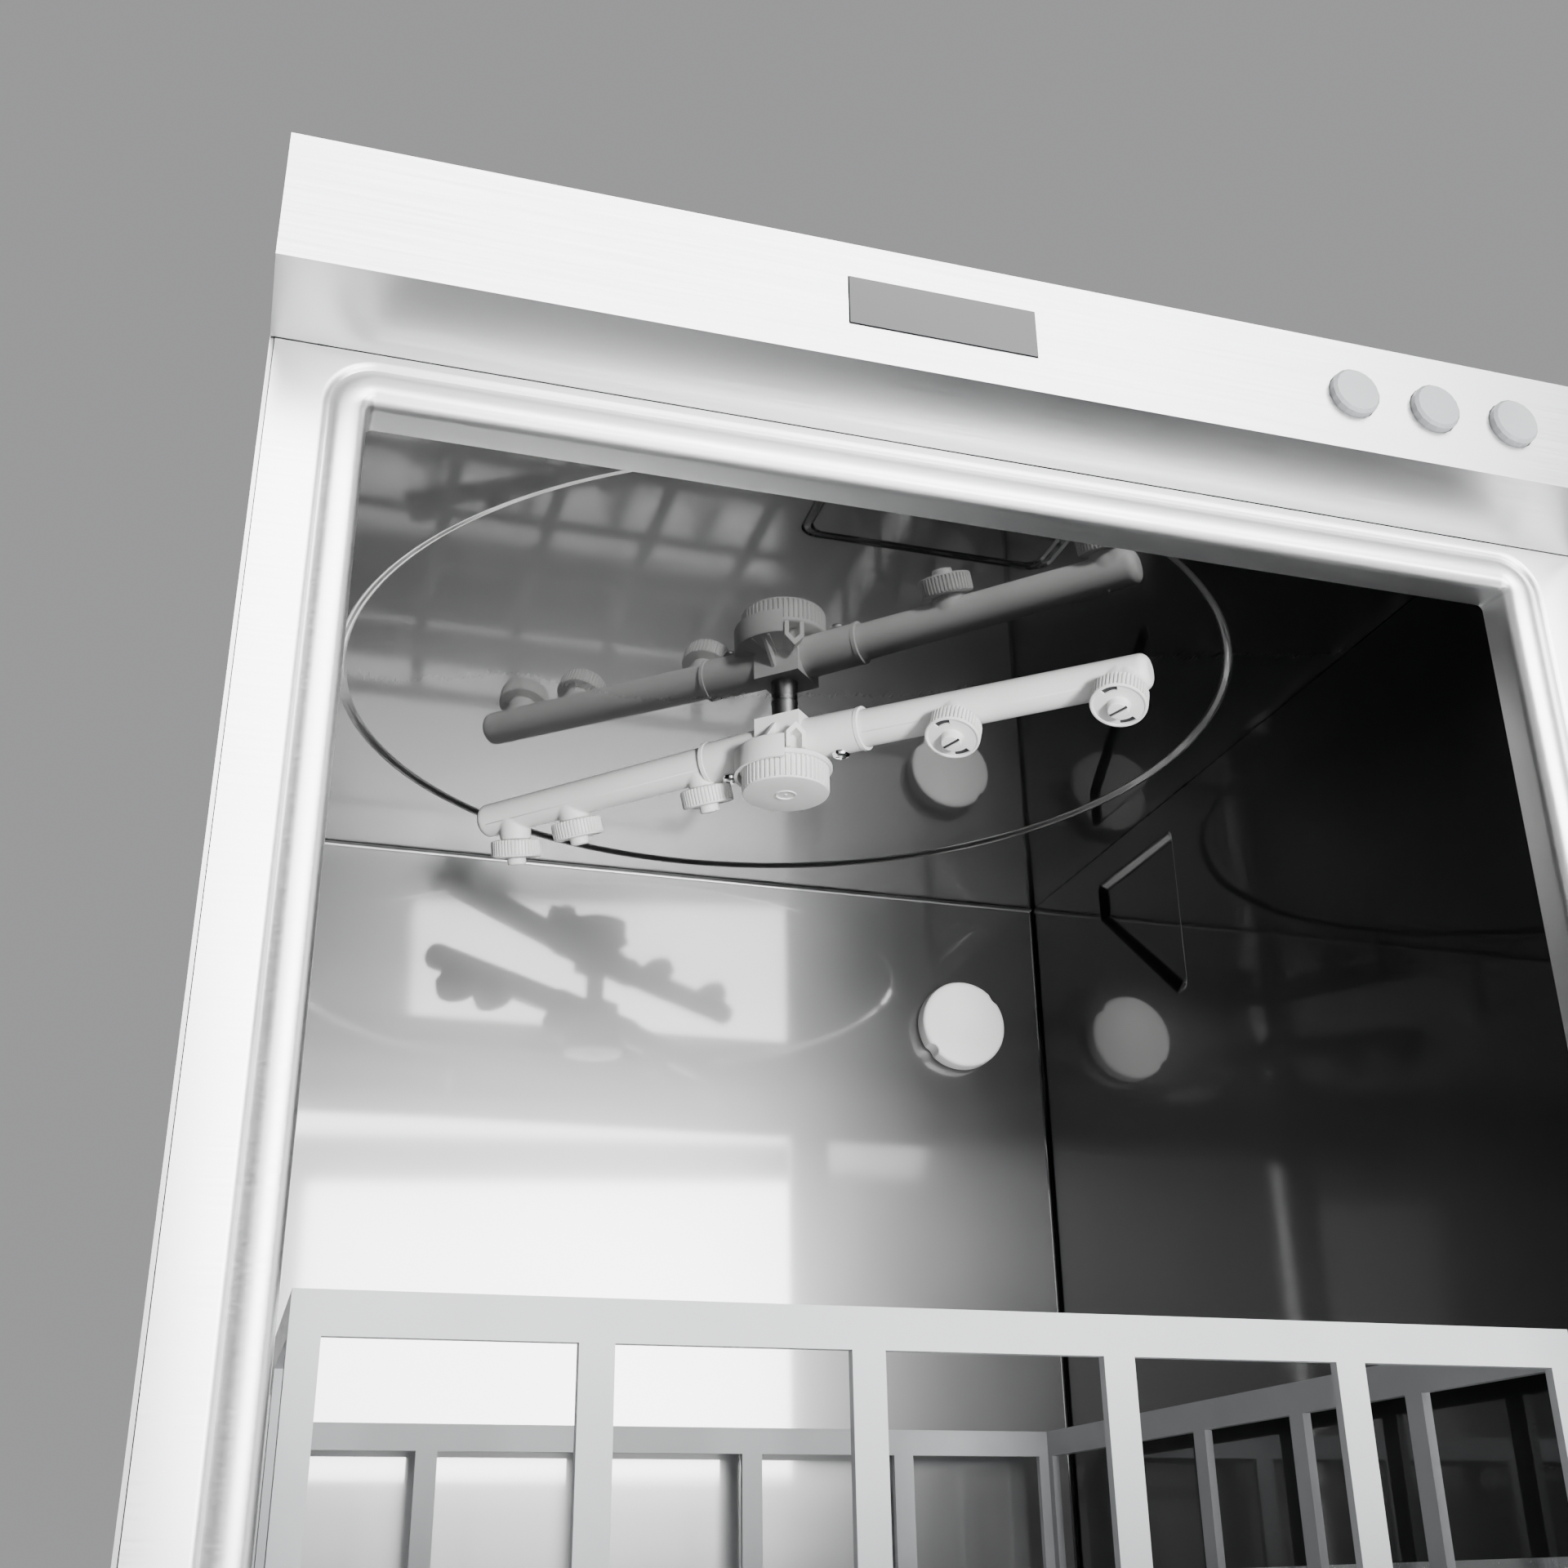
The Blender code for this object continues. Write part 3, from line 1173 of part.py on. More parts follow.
def build_pump(machine):
    """The pump lies across the machine: its volute on the left, its motor on the right."""
    along = (0, TURN / 4, 0)
    centre = (PUMP_X, PUMP_Y, PUMP_Z)
    wall = 3 * MM
    inlet = HOSE_RADIUS - 2 * MM
    left, right = -VOLUTE_LENGTH, 0
    profile = [
        (SHAFT_RADIUS + GAP, right),
        (VOLUTE_RADIUS, right),
        (VOLUTE_RADIUS, left),
        (inlet + wall, left),
        (inlet + wall, left - 14 * MM),
        (inlet, left - 14 * MM),
        (inlet, left + wall),
        (VOLUTE_RADIUS - wall, left + wall),
        (VOLUTE_RADIUS - wall, right - wall),
        (SHAFT_RADIUS + GAP, right - wall),
    ]
    volute = turned("pump_volute", profile, "black_plastic", machine, centre, along, 22, ring=True)
    outlet_at = (PUMP_X - VOLUTE_LENGTH / 2, PUMP_Y, PUMP_Z)
    outlet = rod_mesh(13 * MM, VOLUTE_RADIUS - 6 * MM, VOLUTE_RADIUS + 10 * MM, 20)
    port = rod_mesh(9 * MM, VOLUTE_RADIUS - 20 * MM, VOLUTE_RADIUS + 12 * MM, 20)
    turn = outlet_turn()
    join(volute, helper("pump_outlet", outlet, machine, outlet_at, turn))
    cut(volute, helper("pump_outlet_port", port, machine, outlet_at, turn))
    gap = 6 * MM
    motor_profile = [
        (SHAFT_RADIUS + GAP, GAP),
        (18 * MM, GAP),
        (18 * MM, gap),
        (MOTOR_RADIUS - 3 * MM, gap),
        (MOTOR_RADIUS, gap + 3 * MM),
        (MOTOR_RADIUS, MOTOR_LENGTH - 8 * MM),
        (MOTOR_RADIUS - 8 * MM, MOTOR_LENGTH),
        (0, MOTOR_LENGTH),
        (0, MOTOR_LENGTH - 6 * MM),
        (MOTOR_RADIUS - 9 * MM, MOTOR_LENGTH - 6 * MM),
        (MOTOR_RADIUS - 9 * MM, gap + 6 * MM),
        (SHAFT_RADIUS + GAP, gap + 6 * MM),
    ]
    motor_profile = motor_profile[8:] + motor_profile[:8]
    motor_profile = [(radius, -z) for radius, z in reversed(motor_profile)]
    back = (0, -TURN / 4, 0)
    motor = turned("pump_motor", motor_profile, "painted", machine, centre, back, 22)
    cradle_low = (PUMP_X + 30 * MM, PUMP_Y - 30 * MM, FOOT_HEIGHT + LINER + GAP)
    cradle_high = (PUMP_X + 100 * MM, PUMP_Y + 30 * MM, PUMP_Z - MOTOR_RADIUS + 6 * MM)
    join(motor, helper("motor_cradle", box_mesh(cradle_low, cradle_high), machine))
    rotor_length = MOTOR_LENGTH - 10 * MM
    rotor_profile = [
        (0, rotor_length),
        (SHAFT_RADIUS, rotor_length),
        (SHAFT_RADIUS, rotor_length - 14 * MM),
        (MOTOR_RADIUS - 16 * MM, rotor_length - 14 * MM),
        (MOTOR_RADIUS - 16 * MM, 22 * MM),
        (SHAFT_RADIUS, 22 * MM),
        (SHAFT_RADIUS, -wall - 3 * MM),
        (IMPELLER_RADIUS, -wall - 3 * MM),
        (IMPELLER_RADIUS, -wall - 6 * MM),
        (14 * MM, -wall - 10 * MM),
        (10 * MM, -wall - 26 * MM),
        (0, -wall - 26 * MM),
    ]
    turned("pump_rotor", rotor_profile, "steel", machine, centre, along, 18)


def outlet_turn():
    """The pump's outlet leans back from straight up, towards the riser."""
    return (math.radians(-62), 0, 0)


def build_pipework(machine):
    sump_x, sump_y = sump_place()
    inlet_x = PUMP_X - VOLUTE_LENGTH - 14 * MM - GAP
    suction = [
        (sump_x, sump_y, TANK_FLOOR_Z - LINER - GAP),
        (sump_x, sump_y, PUMP_Z),
        (inlet_x, sump_y, PUMP_Z),
    ]
    tube("suction_hose", bent_route(suction, 24 * MM), HOSE_RADIUS, "rubber", machine)
    lean = -outlet_turn()[0]
    start_x = PUMP_X - VOLUTE_LENGTH / 2
    reach = VOLUTE_RADIUS + 10 * MM + GAP
    start = (start_x, PUMP_Y + reach * math.sin(lean), PUMP_Z + reach * math.cos(lean))
    second = (start_x, start[1] + 18 * MM * math.sin(lean), start[2] + 18 * MM * math.cos(lean))
    manifold_z = TANK_FLOOR_Z - LINER - 8 * MM - GAP
    delivery = [
        start,
        second,
        (0, 0, manifold_z - 30 * MM),
        (0, 0, manifold_z),
    ]
    tube("delivery_hose", bent_route(delivery, 14 * MM), 11 * MM, "rubber", machine)
    top = SPINDLE_BASE_Z + LINER + 5 * MM + GAP
    build_riser(machine, top)


def build_riser(machine, spindle_top):
    """The pipe that feeds the upper arm: up behind the chamber, and forward over its ceiling."""
    back_y = (CHAMBER_BACK + LINER + CABINET_BACK - PANEL) / 2
    level = spindle_top + PIPE_RADIUS + GAP
    bottom = TANK_FLOOR_Z - 20 * MM
    corners = [(40 * MM, back_y, bottom), (40 * MM, back_y, level), (0, 60 * MM, level), (0, -10 * MM, level)]
    tube("riser_pipe", bent_route(corners, 18 * MM), PIPE_RADIUS, "steel", machine)


def build_boiler(machine):
    """The rinse boiler lies across the back, with a port in its left end and a foot under it."""
    wall = 2.5 * MM
    half = BOILER_LENGTH / 2
    port = 8 * MM
    profile = [
        (0, half),
        (BOILER_RADIUS - 12 * MM, half),
        (BOILER_RADIUS, half - 12 * MM),
        (BOILER_RADIUS, -half + 12 * MM),
        (BOILER_RADIUS - 12 * MM, -half),
        (port, -half),
        (port, -half + wall),
        (BOILER_RADIUS - 12 * MM, -half + wall),
        (BOILER_RADIUS - wall, -half + 12 * MM),
        (BOILER_RADIUS - wall, half - 12 * MM),
        (BOILER_RADIUS - 12 * MM, half - wall),
        (0, half - wall),
    ]
    centre = (20 * MM, BOILER_Y, BOILER_Z)
    boiler = turned("rinse_boiler", profile, "steel", machine, centre, (0, TURN / 4, 0), 24)
    low = (-60 * MM, BOILER_Y - 25 * MM, FOOT_HEIGHT + LINER + GAP)
    high = (100 * MM, BOILER_Y + 25 * MM, BOILER_Z - BOILER_RADIUS + 8 * MM)
    foot = helper("boiler_foot", box_mesh(low, high), machine)
    saddle = rod_mesh(BOILER_RADIUS - 1.2 * MM, -half, half, 24)
    cut(foot, helper("boiler_saddle", saddle, machine, centre, (0, TURN / 4, 0)))
    join(boiler, foot)


# Sub-parts: door


def build_door(door):
    """The door lies open. Its y runs from the hinge axis out to its free edge at negative y."""
    half = HALF_CABINET - DOOR_SIDE_INSET
    sheet_z = DOOR_INNER_FACE - PANEL
    low = (-half, -DOOR_TOP, -DOOR_OUTER_FACE)
    high = (half, -DOOR_FOOT, sheet_z - GAP)
    open_box("door_outer_panel", low, high, (0, 0, 0), (0, 0, MM), PANEL, "brushed", door)
    pad_half = HALF_OPENING - 14 * MM
    pad_near = -(SILL_Z + 10 * MM - HINGE_Z)
    pad_far = -(LINTEL_Z - 10 * MM - HINGE_Z)
    rim = rounded(rectangle(-pad_half, pad_far, pad_half, pad_near), 14 * MM)
    slope = 10 * MM
    floor = rounded(
        rectangle(-pad_half + slope, pad_far + slope, pad_half - slope, pad_near - slope), 9 * MM
    )
    outline = rectangle(-half, -DOOR_TOP, half, -DOOR_FOOT)
    pad = {"rim": rim, "floor": floor, "rise": DOOR_PAD_RISE}
    place_at = (0, 0, sheet_z)
    pressed_sheet("door_inner_panel", outline, [pad], [], PANEL, "chamber_steel", door, place_at, (0, 0, 0))
    seal_half = HALF_OPENING + 12.5 * MM
    seal_near = -(SILL_Z - 8.5 * MM - HINGE_Z)
    seal_far = -(LINTEL_Z + 12 * MM - HINGE_Z)
    outer = rounded(rectangle(-seal_half, seal_far, seal_half, seal_near), 10 * MM)
    width = SEAL_WIDTH
    inner = rounded(
        rectangle(-seal_half + width, seal_far + width, seal_half - width, seal_near - width), 5 * MM
    )
    seal_z = DOOR_INNER_FACE + GAP + SEAL_HEIGHT / 2
    plate("door_seal", [outer, inner], SEAL_HEIGHT, "rubber", door, (0, 0, seal_z))
    build_hinge_rod(door)
    build_handle(door)


def build_hinge_rod(door):
    """One rod runs through both ears of the frame, and three lugs carry the door on it."""
    length = HALF_INSIDE - GAP
    rod = place(
        "door_hinge_rod", rod_mesh(HINGE_ROD_RADIUS, -length, length, 20), "steel", door, (0, 0, 0), (0, TURN / 4, 0)
    )
    for index, x in enumerate((-0.8 * HALF_OPENING, 0, 0.8 * HALF_OPENING)):
        low = (x - 15 * MM, -DOOR_FOOT + GAP, -7 * MM)
        high = (x + 15 * MM, 0, 7 * MM)
        join(rod, helper(f"hinge_lug_{index + 1}", box_mesh(low, high), door))


def build_handle(door):
    """A bar across the outer face, near the free edge."""
    line = -DOOR_TOP + 38 * MM
    face = -DOOR_OUTER_FACE - GAP
    out = face - 34 * MM
    reach = HANDLE_HALF_LENGTH
    corners = [(-reach, line, face), (-reach, line, out), (reach, line, out), (reach, line, face)]
    tube("door_handle", bent_route(corners, 16 * MM), HANDLE_RADIUS, "steel", door)


def smooth_round_pieces():
    for obj in parts.objects:
        if obj.type == "MESH":
            obj.data.shade_smooth()
            obj.data.set_sharp_from_angle(angle=math.radians(35))


def main():
    global parts, helpers
    clear_scene()
    parts = new_collection("glass_washer")
    helpers = new_collection("cutters")
    add_finish("steel", (0.72, 0.72, 0.72), 0.28, 1.0)
    add_finish("chamber_steel", (0.6, 0.6, 0.61), 0.16, 1.0)
    add_finish("brushed", (0.7, 0.7, 0.7), 0.36, 1.0)
    add_finish("fascia", (0.62, 0.63, 0.64), 0.4, 0.9)
    add_finish("white_plastic", (0.8, 0.8, 0.79), 0.38, 0.0)
    add_finish("grey_plastic", (0.32, 0.33, 0.34), 0.45, 0.0)
    add_finish("black_plastic", (0.03, 0.03, 0.032), 0.5, 0.0)
    add_finish("rack_plastic", (0.34, 0.35, 0.36), 0.45, 0.0)
    add_finish("rubber", (0.05, 0.05, 0.05), 0.7, 0.0)
    add_finish("chrome", (0.85, 0.85, 0.86), 0.08, 1.0)
    add_finish("brass", (0.7, 0.5, 0.2), 0.35, 1.0)
    add_finish("painted", (0.2, 0.21, 0.22), 0.5, 0.0)
    add_finish("dark_glass", (0.02, 0.02, 0.025), 0.12, 0.0)
    machine = add_empty("machine", None, (0, SPINDLE_Y, 0))
    door = add_empty("door_axis", machine, (0, HINGE_Y, HINGE_Z))
    upper_arm = add_empty("upper_arm_axis", machine, (0, 0, 0), (0, 0, ARM_AZIMUTH))
    lower_arm = add_empty("lower_arm_axis", machine, (0, 0, 0), (0, 0, LOWER_ARM_AZIMUTH))
    build_casing(machine)
    build_feet(machine)
    build_back_connectors(machine)
    build_front_frame(machine)
    build_controls(machine)
    build_chamber(machine)
    build_spindles(machine)
    build_upper_arm(upper_arm)
    build_lower_arm(lower_arm)
    build_tank(machine)
    build_filter(machine)
    build_standpipe(machine)
    build_element(machine)
    build_rack(machine)
    build_pump(machine)
    build_pipework(machine)
    build_boiler(machine)
    build_door(door)
    smooth_round_pieces()


main()
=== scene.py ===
"""Looks of the glass washer: finer meshes, finishes, floor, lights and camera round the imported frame.

Lengths are in metres, in the frame's own coordinates. Positions come from the boxes of the frame's nodes.
"""

import json
import math

import bmesh
import bpy
from mathutils import Matrix, Vector


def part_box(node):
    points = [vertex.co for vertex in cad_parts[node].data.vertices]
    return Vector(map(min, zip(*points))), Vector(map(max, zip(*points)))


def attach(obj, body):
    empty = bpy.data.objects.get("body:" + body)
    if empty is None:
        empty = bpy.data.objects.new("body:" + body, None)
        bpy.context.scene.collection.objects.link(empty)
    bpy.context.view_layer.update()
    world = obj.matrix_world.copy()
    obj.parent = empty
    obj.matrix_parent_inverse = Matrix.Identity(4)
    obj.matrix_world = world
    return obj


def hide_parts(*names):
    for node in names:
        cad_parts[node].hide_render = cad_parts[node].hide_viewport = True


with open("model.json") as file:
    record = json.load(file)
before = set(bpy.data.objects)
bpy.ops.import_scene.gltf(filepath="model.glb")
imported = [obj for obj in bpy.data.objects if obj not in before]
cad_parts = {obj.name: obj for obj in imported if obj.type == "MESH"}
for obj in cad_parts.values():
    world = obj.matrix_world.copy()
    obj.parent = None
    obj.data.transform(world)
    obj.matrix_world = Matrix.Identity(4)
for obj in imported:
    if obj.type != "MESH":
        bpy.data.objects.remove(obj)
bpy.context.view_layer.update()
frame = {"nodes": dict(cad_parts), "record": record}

MM = 0.001
TURN = 2 * math.pi

# Camera
CAMERA_POSITION = (-0.2186, -0.5174, 0.3093)
CAMERA_YAW = math.radians(17.15)
CAMERA_PITCH = math.radians(24.21)
CAMERA_ROLL = math.radians(-0.74)
CAMERA_LENS = 41.53
SENSOR_WIDTH = 36

# Chamber's sheets and the seams between them
LINER = 1.5 * MM
SPINDLE_HOLE = 6.3 * MM
SEAM_RADIUS = 2.2 * MM
SEAM_LAP = 0.1 * MM

# White cap on the back wall
WALL_CAP_SCOOP = 4.6 * MM
WALL_CAP_ROUNDING = 4.6 * MM

# Ring and recess in the ceiling
RING_RADIUS = 200 * MM
RING_BAND = 4.2 * MM
RING_RISE = 1.7 * MM
RING_FACETS = 180
RECESS_LEFT = -38 * MM
RECESS_RIGHT = 66 * MM
RECESS_REAR = -139.5 * MM
RECESS_FRONT = -177 * MM
RECESS_RISE = 0.9 * MM
RECESS_SLOPE = 5 * MM
RECESS_CORNER = 8 * MM
# Shares of the way across and up the recess's edge, which is pressed in two small steps
RECESS_STEPS = (
    (-0.1, 0), (0, 0), (0.1, 0.12), (0.2, 0.38), (0.3, 0.5),
    (0.7, 0.5), (0.8, 0.62), (0.9, 0.88), (1, 1), (1.1, 1),
)

# Pocket in each side wall, and its floor
POCKET_TOP = 16.5 * MM
POCKET_FRONT = 48 * MM
POCKET_REAR = 132 * MM
POCKET_DROP = 101 * MM
POCKET_RISE = 3.2 * MM
POCKET_SLOPE = 4.5 * MM
POCKET_FOOT = 10 * MM
POCKET_REAR_EDGE = 20 * MM
POCKET_CORNER = 3.8 * MM
POCKET_FLOOR_FOOT = 9 * MM
POCKET_FLOOR_REAR_EDGE = 18.5 * MM
POCKET_FLOOR_CORNER = 2.4 * MM

# Door opening
OPENING_HALF = 204 * MM
OPENING_DEPTH = 16 * MM
SILL_Z = 296 * MM
LINTEL_Z = 643 * MM
OPENING_CORNER = 2.5 * MM
EAR_THICKNESS = 9 * MM
EAR_BORE = 5.3 * MM
EAR_CHAMFER = 0.6 * MM

# Spray arm
ARM_AZIMUTH = math.radians(-43.9)
ARM_DROOP = math.radians(1.63)
ARM_DROP = 18.7 * MM
RIGHT_REACH = 169.6 * MM
LEFT_REACH = 166 * MM
NOZZLE_TILT = math.radians(23.5)
TIP_NOZZLE_TILT = math.radians(19.5)
TIP_NOZZLE_SPLAY = math.radians(8.6)
NECK_ROOT_RADIUS = 7.9 * MM
NECK_FOOT_RADIUS = 7.4 * MM
NECK_LENGTH = 9.7 * MM
TIP_NECK_LENGTH = 12.2 * MM
TUBE_START = 15 * MM
TUBE_ROOT_RADIUS = 8.5 * MM
TUBE_TIP_RADIUS = 8.05 * MM
TUBE_END_ROUND = 4.2 * MM
SCREW_STATION = 28 * MM
SPINDLE_RADIUS = 5.98 * MM
SPINDLE_BORE = 3.6 * MM
SPINDLE_FLANGE = 11 * MM
SPINDLE_FLANGE_DEPTH = 4.7 * MM

# Hub and its nut, from the arm's own axis
HUB_FOOT = -11 * MM
HUB_TOP = 10.2 * MM
HUB_HALF_WIDTH = 10.8 * MM
HUB_BORE = 6.35 * MM
SLEEVE_RADIUS = 9.65 * MM
SLEEVE_BORE = 8.8 * MM
SLEEVE_END = 40 * MM
SKIRT_START = math.radians(-64)
SKIRT_END = math.radians(-236)
HUB_RIB_DEGREES = (-82, -105, -128, -152, -176, -200, -224)
NUT_TOP = -11.3 * MM
NUT_HEIGHT = 13.8 * MM
NUT_RADIUS = 19.7 * MM
NUT_FLANGE = 21.2 * MM
NUT_RIBS = 52

# Nozzle caps
CAP_RADIUS = 12 * MM
CAP_HEIGHT = 8.5 * MM
CAP_RIBS = 44
WINDOW_INNER = 8.0 * MM
WINDOW_OUTER = 10.4 * MM
WINDOW_SWEEP = math.radians(42)
PLUG_SLOT_TURN = math.radians(-20)
CAP_SPIN = math.radians(17)

# Places in the frame
spindle_low, spindle_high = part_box("upper_spindle")
SPINDLE_X = (spindle_low[0] + spindle_high[0]) / 2
SPINDLE_Y = (spindle_low[1] + spindle_high[1]) / 2
CEILING_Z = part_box("chamber_ceiling")[0][2]
ARM_Z = CEILING_Z - ARM_DROP
CHAMBER_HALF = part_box("chamber_right_wall")[0][0]
rod_low, rod_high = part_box("door_hinge_rod")
HINGE_Y = (rod_low[1] + rod_high[1]) / 2
HINGE_Z = (rod_low[2] + rod_high[2]) / 2

CABINET = "cabinet"
ARM = "upper_spray_arm"

# Turns a piece made about z so that it lies along x
ALONG = Matrix.Rotation(TURN / 4, 4, "Y")

# The back wall takes a lighter copy of the chamber's steel, painted light.
OWN_FINISH = {"chamber_back_wall": "back_steel"}

# Stretch of a metal's grain, which runs along the axis with the small value
GRAIN_X = (0.02, 1, 1)
GRAIN_Y = (1, 0.02, 1)
GRAIN_Z = (1, 1, 0.02)
NO_GRAIN = (1, 1, 1)

# Scales of the noises, in about as many cells to the metre
GRAIN_SCALE = 900
SMUDGE_SCALE = 9
WAVE_SCALE = 5
DRIFT_SCALE = 22

# Part of a noise's range that is spread over a finish's own range
NOISE_LOW = 0.3
NOISE_HIGH = 0.7

scene = bpy.context.scene
materials = {}


# Materials


def new_material(name):
    material = bpy.data.materials.new(name)
    material.use_nodes = True
    materials[name] = material
    return material.node_tree, material.node_tree.nodes["Principled BSDF"]


def stretched_noise(tree, scale, stretch, detail):
    """Noise in the piece's own coordinates, drawn out along the axes with small stretch values."""
    where = tree.nodes.new("ShaderNodeTexCoord")
    mapping = tree.nodes.new("ShaderNodeMapping")
    mapping.inputs["Scale"].default_value = stretch
    tree.links.new(where.outputs["Object"], mapping.inputs["Vector"])
    noise = tree.nodes.new("ShaderNodeTexNoise")
    noise.inputs["Scale"].default_value = scale
    noise.inputs["Detail"].default_value = detail
    tree.links.new(mapping.outputs["Vector"], noise.inputs["Vector"])
    return noise.outputs["Fac"]


def ranged(tree, value, low, high):
    """The middle part of a noise's range, spread from low to high."""
    ramp = tree.nodes.new("ShaderNodeMapRange")
    ramp.inputs["From Min"].default_value = NOISE_LOW
    ramp.inputs["From Max"].default_value = NOISE_HIGH
    ramp.inputs["To Min"].default_value = low
    ramp.inputs["To Max"].default_value = high
    tree.links.new(value, ramp.inputs["Value"])
    return ramp.outputs["Result"]


def mixed_colour(tree, value, first, second):
    mix = tree.nodes.new("ShaderNodeMix")
    mix.data_type = "RGBA"
    mix.inputs["A"].default_value = (*first, 1)
    mix.inputs["B"].default_value = (*second, 1)
    tree.links.new(value, mix.inputs["Factor"])
    return mix.outputs["Result"]


def bump(tree, height, strength, distance):
    made = tree.nodes.new("ShaderNodeBump")
    made.inputs["Strength"].default_value = strength
    made.inputs["Distance"].default_value = distance
    tree.links.new(height, made.inputs["Height"])
    return made.outputs["Normal"]


def make_metal(name, dark, light, roughness, grain, grain_strength, polish=None):
    """Bare metal, brushed along the axis with the smallest grain value.

    Smudges drift its colour and roughness. Polish is the (IOR, roughness) of a sharper top reflection.
    """
    tree, shader = new_material(name)
    shader.inputs["Metallic"].default_value = 1.0
    lines = stretched_noise(tree, GRAIN_SCALE, grain, 4)
    smudges = stretched_noise(tree, SMUDGE_SCALE, NO_GRAIN, 5)
    tint = mixed_colour(tree, ranged(tree, smudges, 0, 1), dark, light)
    tree.links.new(tint, shader.inputs["Base Color"])
    rough_lines = ranged(tree, lines, roughness[0], roughness[1])
    rough_smudge = ranged(tree, smudges, 0.9, 1.12)
    total = tree.nodes.new("ShaderNodeMath")
    total.operation = "MULTIPLY"
    tree.links.new(rough_lines, total.inputs[0])
    tree.links.new(rough_smudge, total.inputs[1])
    tree.links.new(total.outputs["Value"], shader.inputs["Roughness"])
    if grain_strength:
        tree.links.new(bump(tree, lines, grain_strength, 0.02 * MM), shader.inputs["Normal"])
    if polish:
        shader.inputs["Coat Weight"].default_value = 1.0
        shader.inputs["Coat IOR"].default_value = polish[0]
        shader.inputs["Coat Roughness"].default_value = polish[1]
        waves = stretched_noise(tree, WAVE_SCALE, NO_GRAIN, 0)
        tree.links.new(bump(tree, waves, 0.05, 1 * MM), shader.inputs["Coat Normal"])


def make_plastic(name, dark, light, roughness, texture_scale=700, texture_strength=0.06, specular=0.5):
    """Moulded plastic with a faint skin texture and a slight drift in colour and gloss."""
    tree, shader = new_material(name)
    shader.inputs["Specular IOR Level"].default_value = specular
    drift = stretched_noise(tree, DRIFT_SCALE, NO_GRAIN, 5)
    skin = stretched_noise(tree, texture_scale, NO_GRAIN, 2)
    tint = mixed_colour(tree, ranged(tree, drift, 0, 1), dark, light)
    tree.links.new(tint, shader.inputs["Base Color"])
    tree.links.new(ranged(tree, drift, roughness[0], roughness[1]), shader.inputs["Roughness"])
    tree.links.new(bump(tree, skin, texture_strength, 0.05 * MM), shader.inputs["Normal"])


def make_materials():
    # The chamber's ceiling, side walls and back wall are one steel, and their tints are painted light and
    # shade: near black on the ceiling and side walls for the shade they show, lighter grey on the back wall
    # for the light it shows.
    painted_shade_black = (0.02, 0.02, 0.021), (0.03, 0.03, 0.03)
    make_metal("ceiling_steel", *painted_shade_black, (0.36, 0.37), GRAIN_Y, 0, (1.95, 0.03))
    make_metal("side_steel", *painted_shade_black, (0.33, 0.34), GRAIN_Y, 0, (1.45, 0.04))
    # Lighter tint of the same steel, painted light on the back wall.
    back = (0.42, 0.42, 0.42), (0.46, 0.46, 0.46)
    make_metal("back_steel", *back, (0.31, 0.32), GRAIN_X, 0, (3.0, 0.055))
    make_metal("chamber_steel", (0.5, 0.5, 0.505), (0.56, 0.56, 0.56), (0.12, 0.16), GRAIN_Y, 0.05)
    make_metal("frame_steel", (0.93, 0.93, 0.93), (0.97, 0.97, 0.97), (0.3, 0.38), GRAIN_X, 0.01)
    make_metal("spindle_steel", (0.5, 0.5, 0.5), (0.62, 0.62, 0.62), (0.3, 0.42), GRAIN_Z, 0.05)
    make_metal("steel", (0.66, 0.66, 0.66), (0.74, 0.74, 0.74), (0.2, 0.28), (0.05, 1, 1), 0.06)
    make_metal("brushed", (0.6, 0.6, 0.605), (0.68, 0.68, 0.68), (0.28, 0.38), GRAIN_Z, 0.16)
    make_metal("fascia", (0.6, 0.605, 0.61), (0.66, 0.66, 0.665), (0.3, 0.4), GRAIN_X, 0.16)
    make_metal("chrome", (0.8, 0.8, 0.81), (0.86, 0.86, 0.87), (0.05, 0.1), NO_GRAIN, 0.02)
    make_metal("brass", (0.62, 0.43, 0.16), (0.74, 0.54, 0.22), (0.25, 0.4), NO_GRAIN, 0.1)
    make_plastic("arm_plastic", (0.76, 0.76, 0.75), (0.82, 0.82, 0.81), (0.36, 0.46), 600, 0.05)
    make_plastic("cap_plastic", (0.93, 0.93, 0.92), (0.95, 0.95, 0.94), (0.4, 0.5), 600, 0.04)
    make_plastic("white_plastic", (0.76, 0.76, 0.75), (0.84, 0.84, 0.83), (0.3, 0.42))
    make_plastic("grey_plastic", (0.26, 0.27, 0.28), (0.33, 0.34, 0.35), (0.4, 0.5), 500, 0.15)
    make_plastic("black_plastic", (0.018, 0.018, 0.02), (0.035, 0.035, 0.037), (0.42, 0.58), 500, 0.2)
    make_plastic("rack_plastic", (0.38, 0.39, 0.4), (0.45, 0.46, 0.47), (0.36, 0.5), 500, 0.15)
    make_plastic("rubber", (0.025, 0.025, 0.026), (0.05, 0.05, 0.05), (0.6, 0.75), 400, 0.25, 0.35)
    make_plastic("painted", (0.16, 0.17, 0.18), (0.2, 0.21, 0.22), (0.35, 0.5), 300, 0.3)
    make_plastic("dark_glass", (0.008, 0.008, 0.01), (0.012, 0.012, 0.015), (0.06, 0.1), 300, 0.0)


def finish_frame():
    """Gives every node of the frame the finish of its own slot, but the back wall its lighter copy of the
    chamber's steel, painted light; no mesh is touched.
    """
    slots = {entry["node"]: entry["material_slot"] for entry in frame["record"]["subparts"]}
    for name, obj in frame["nodes"].items():
        obj.data.materials.clear()
        obj.data.materials.append(materials[OWN_FINISH.get(name, slots[name])])


# Outlines and meshes


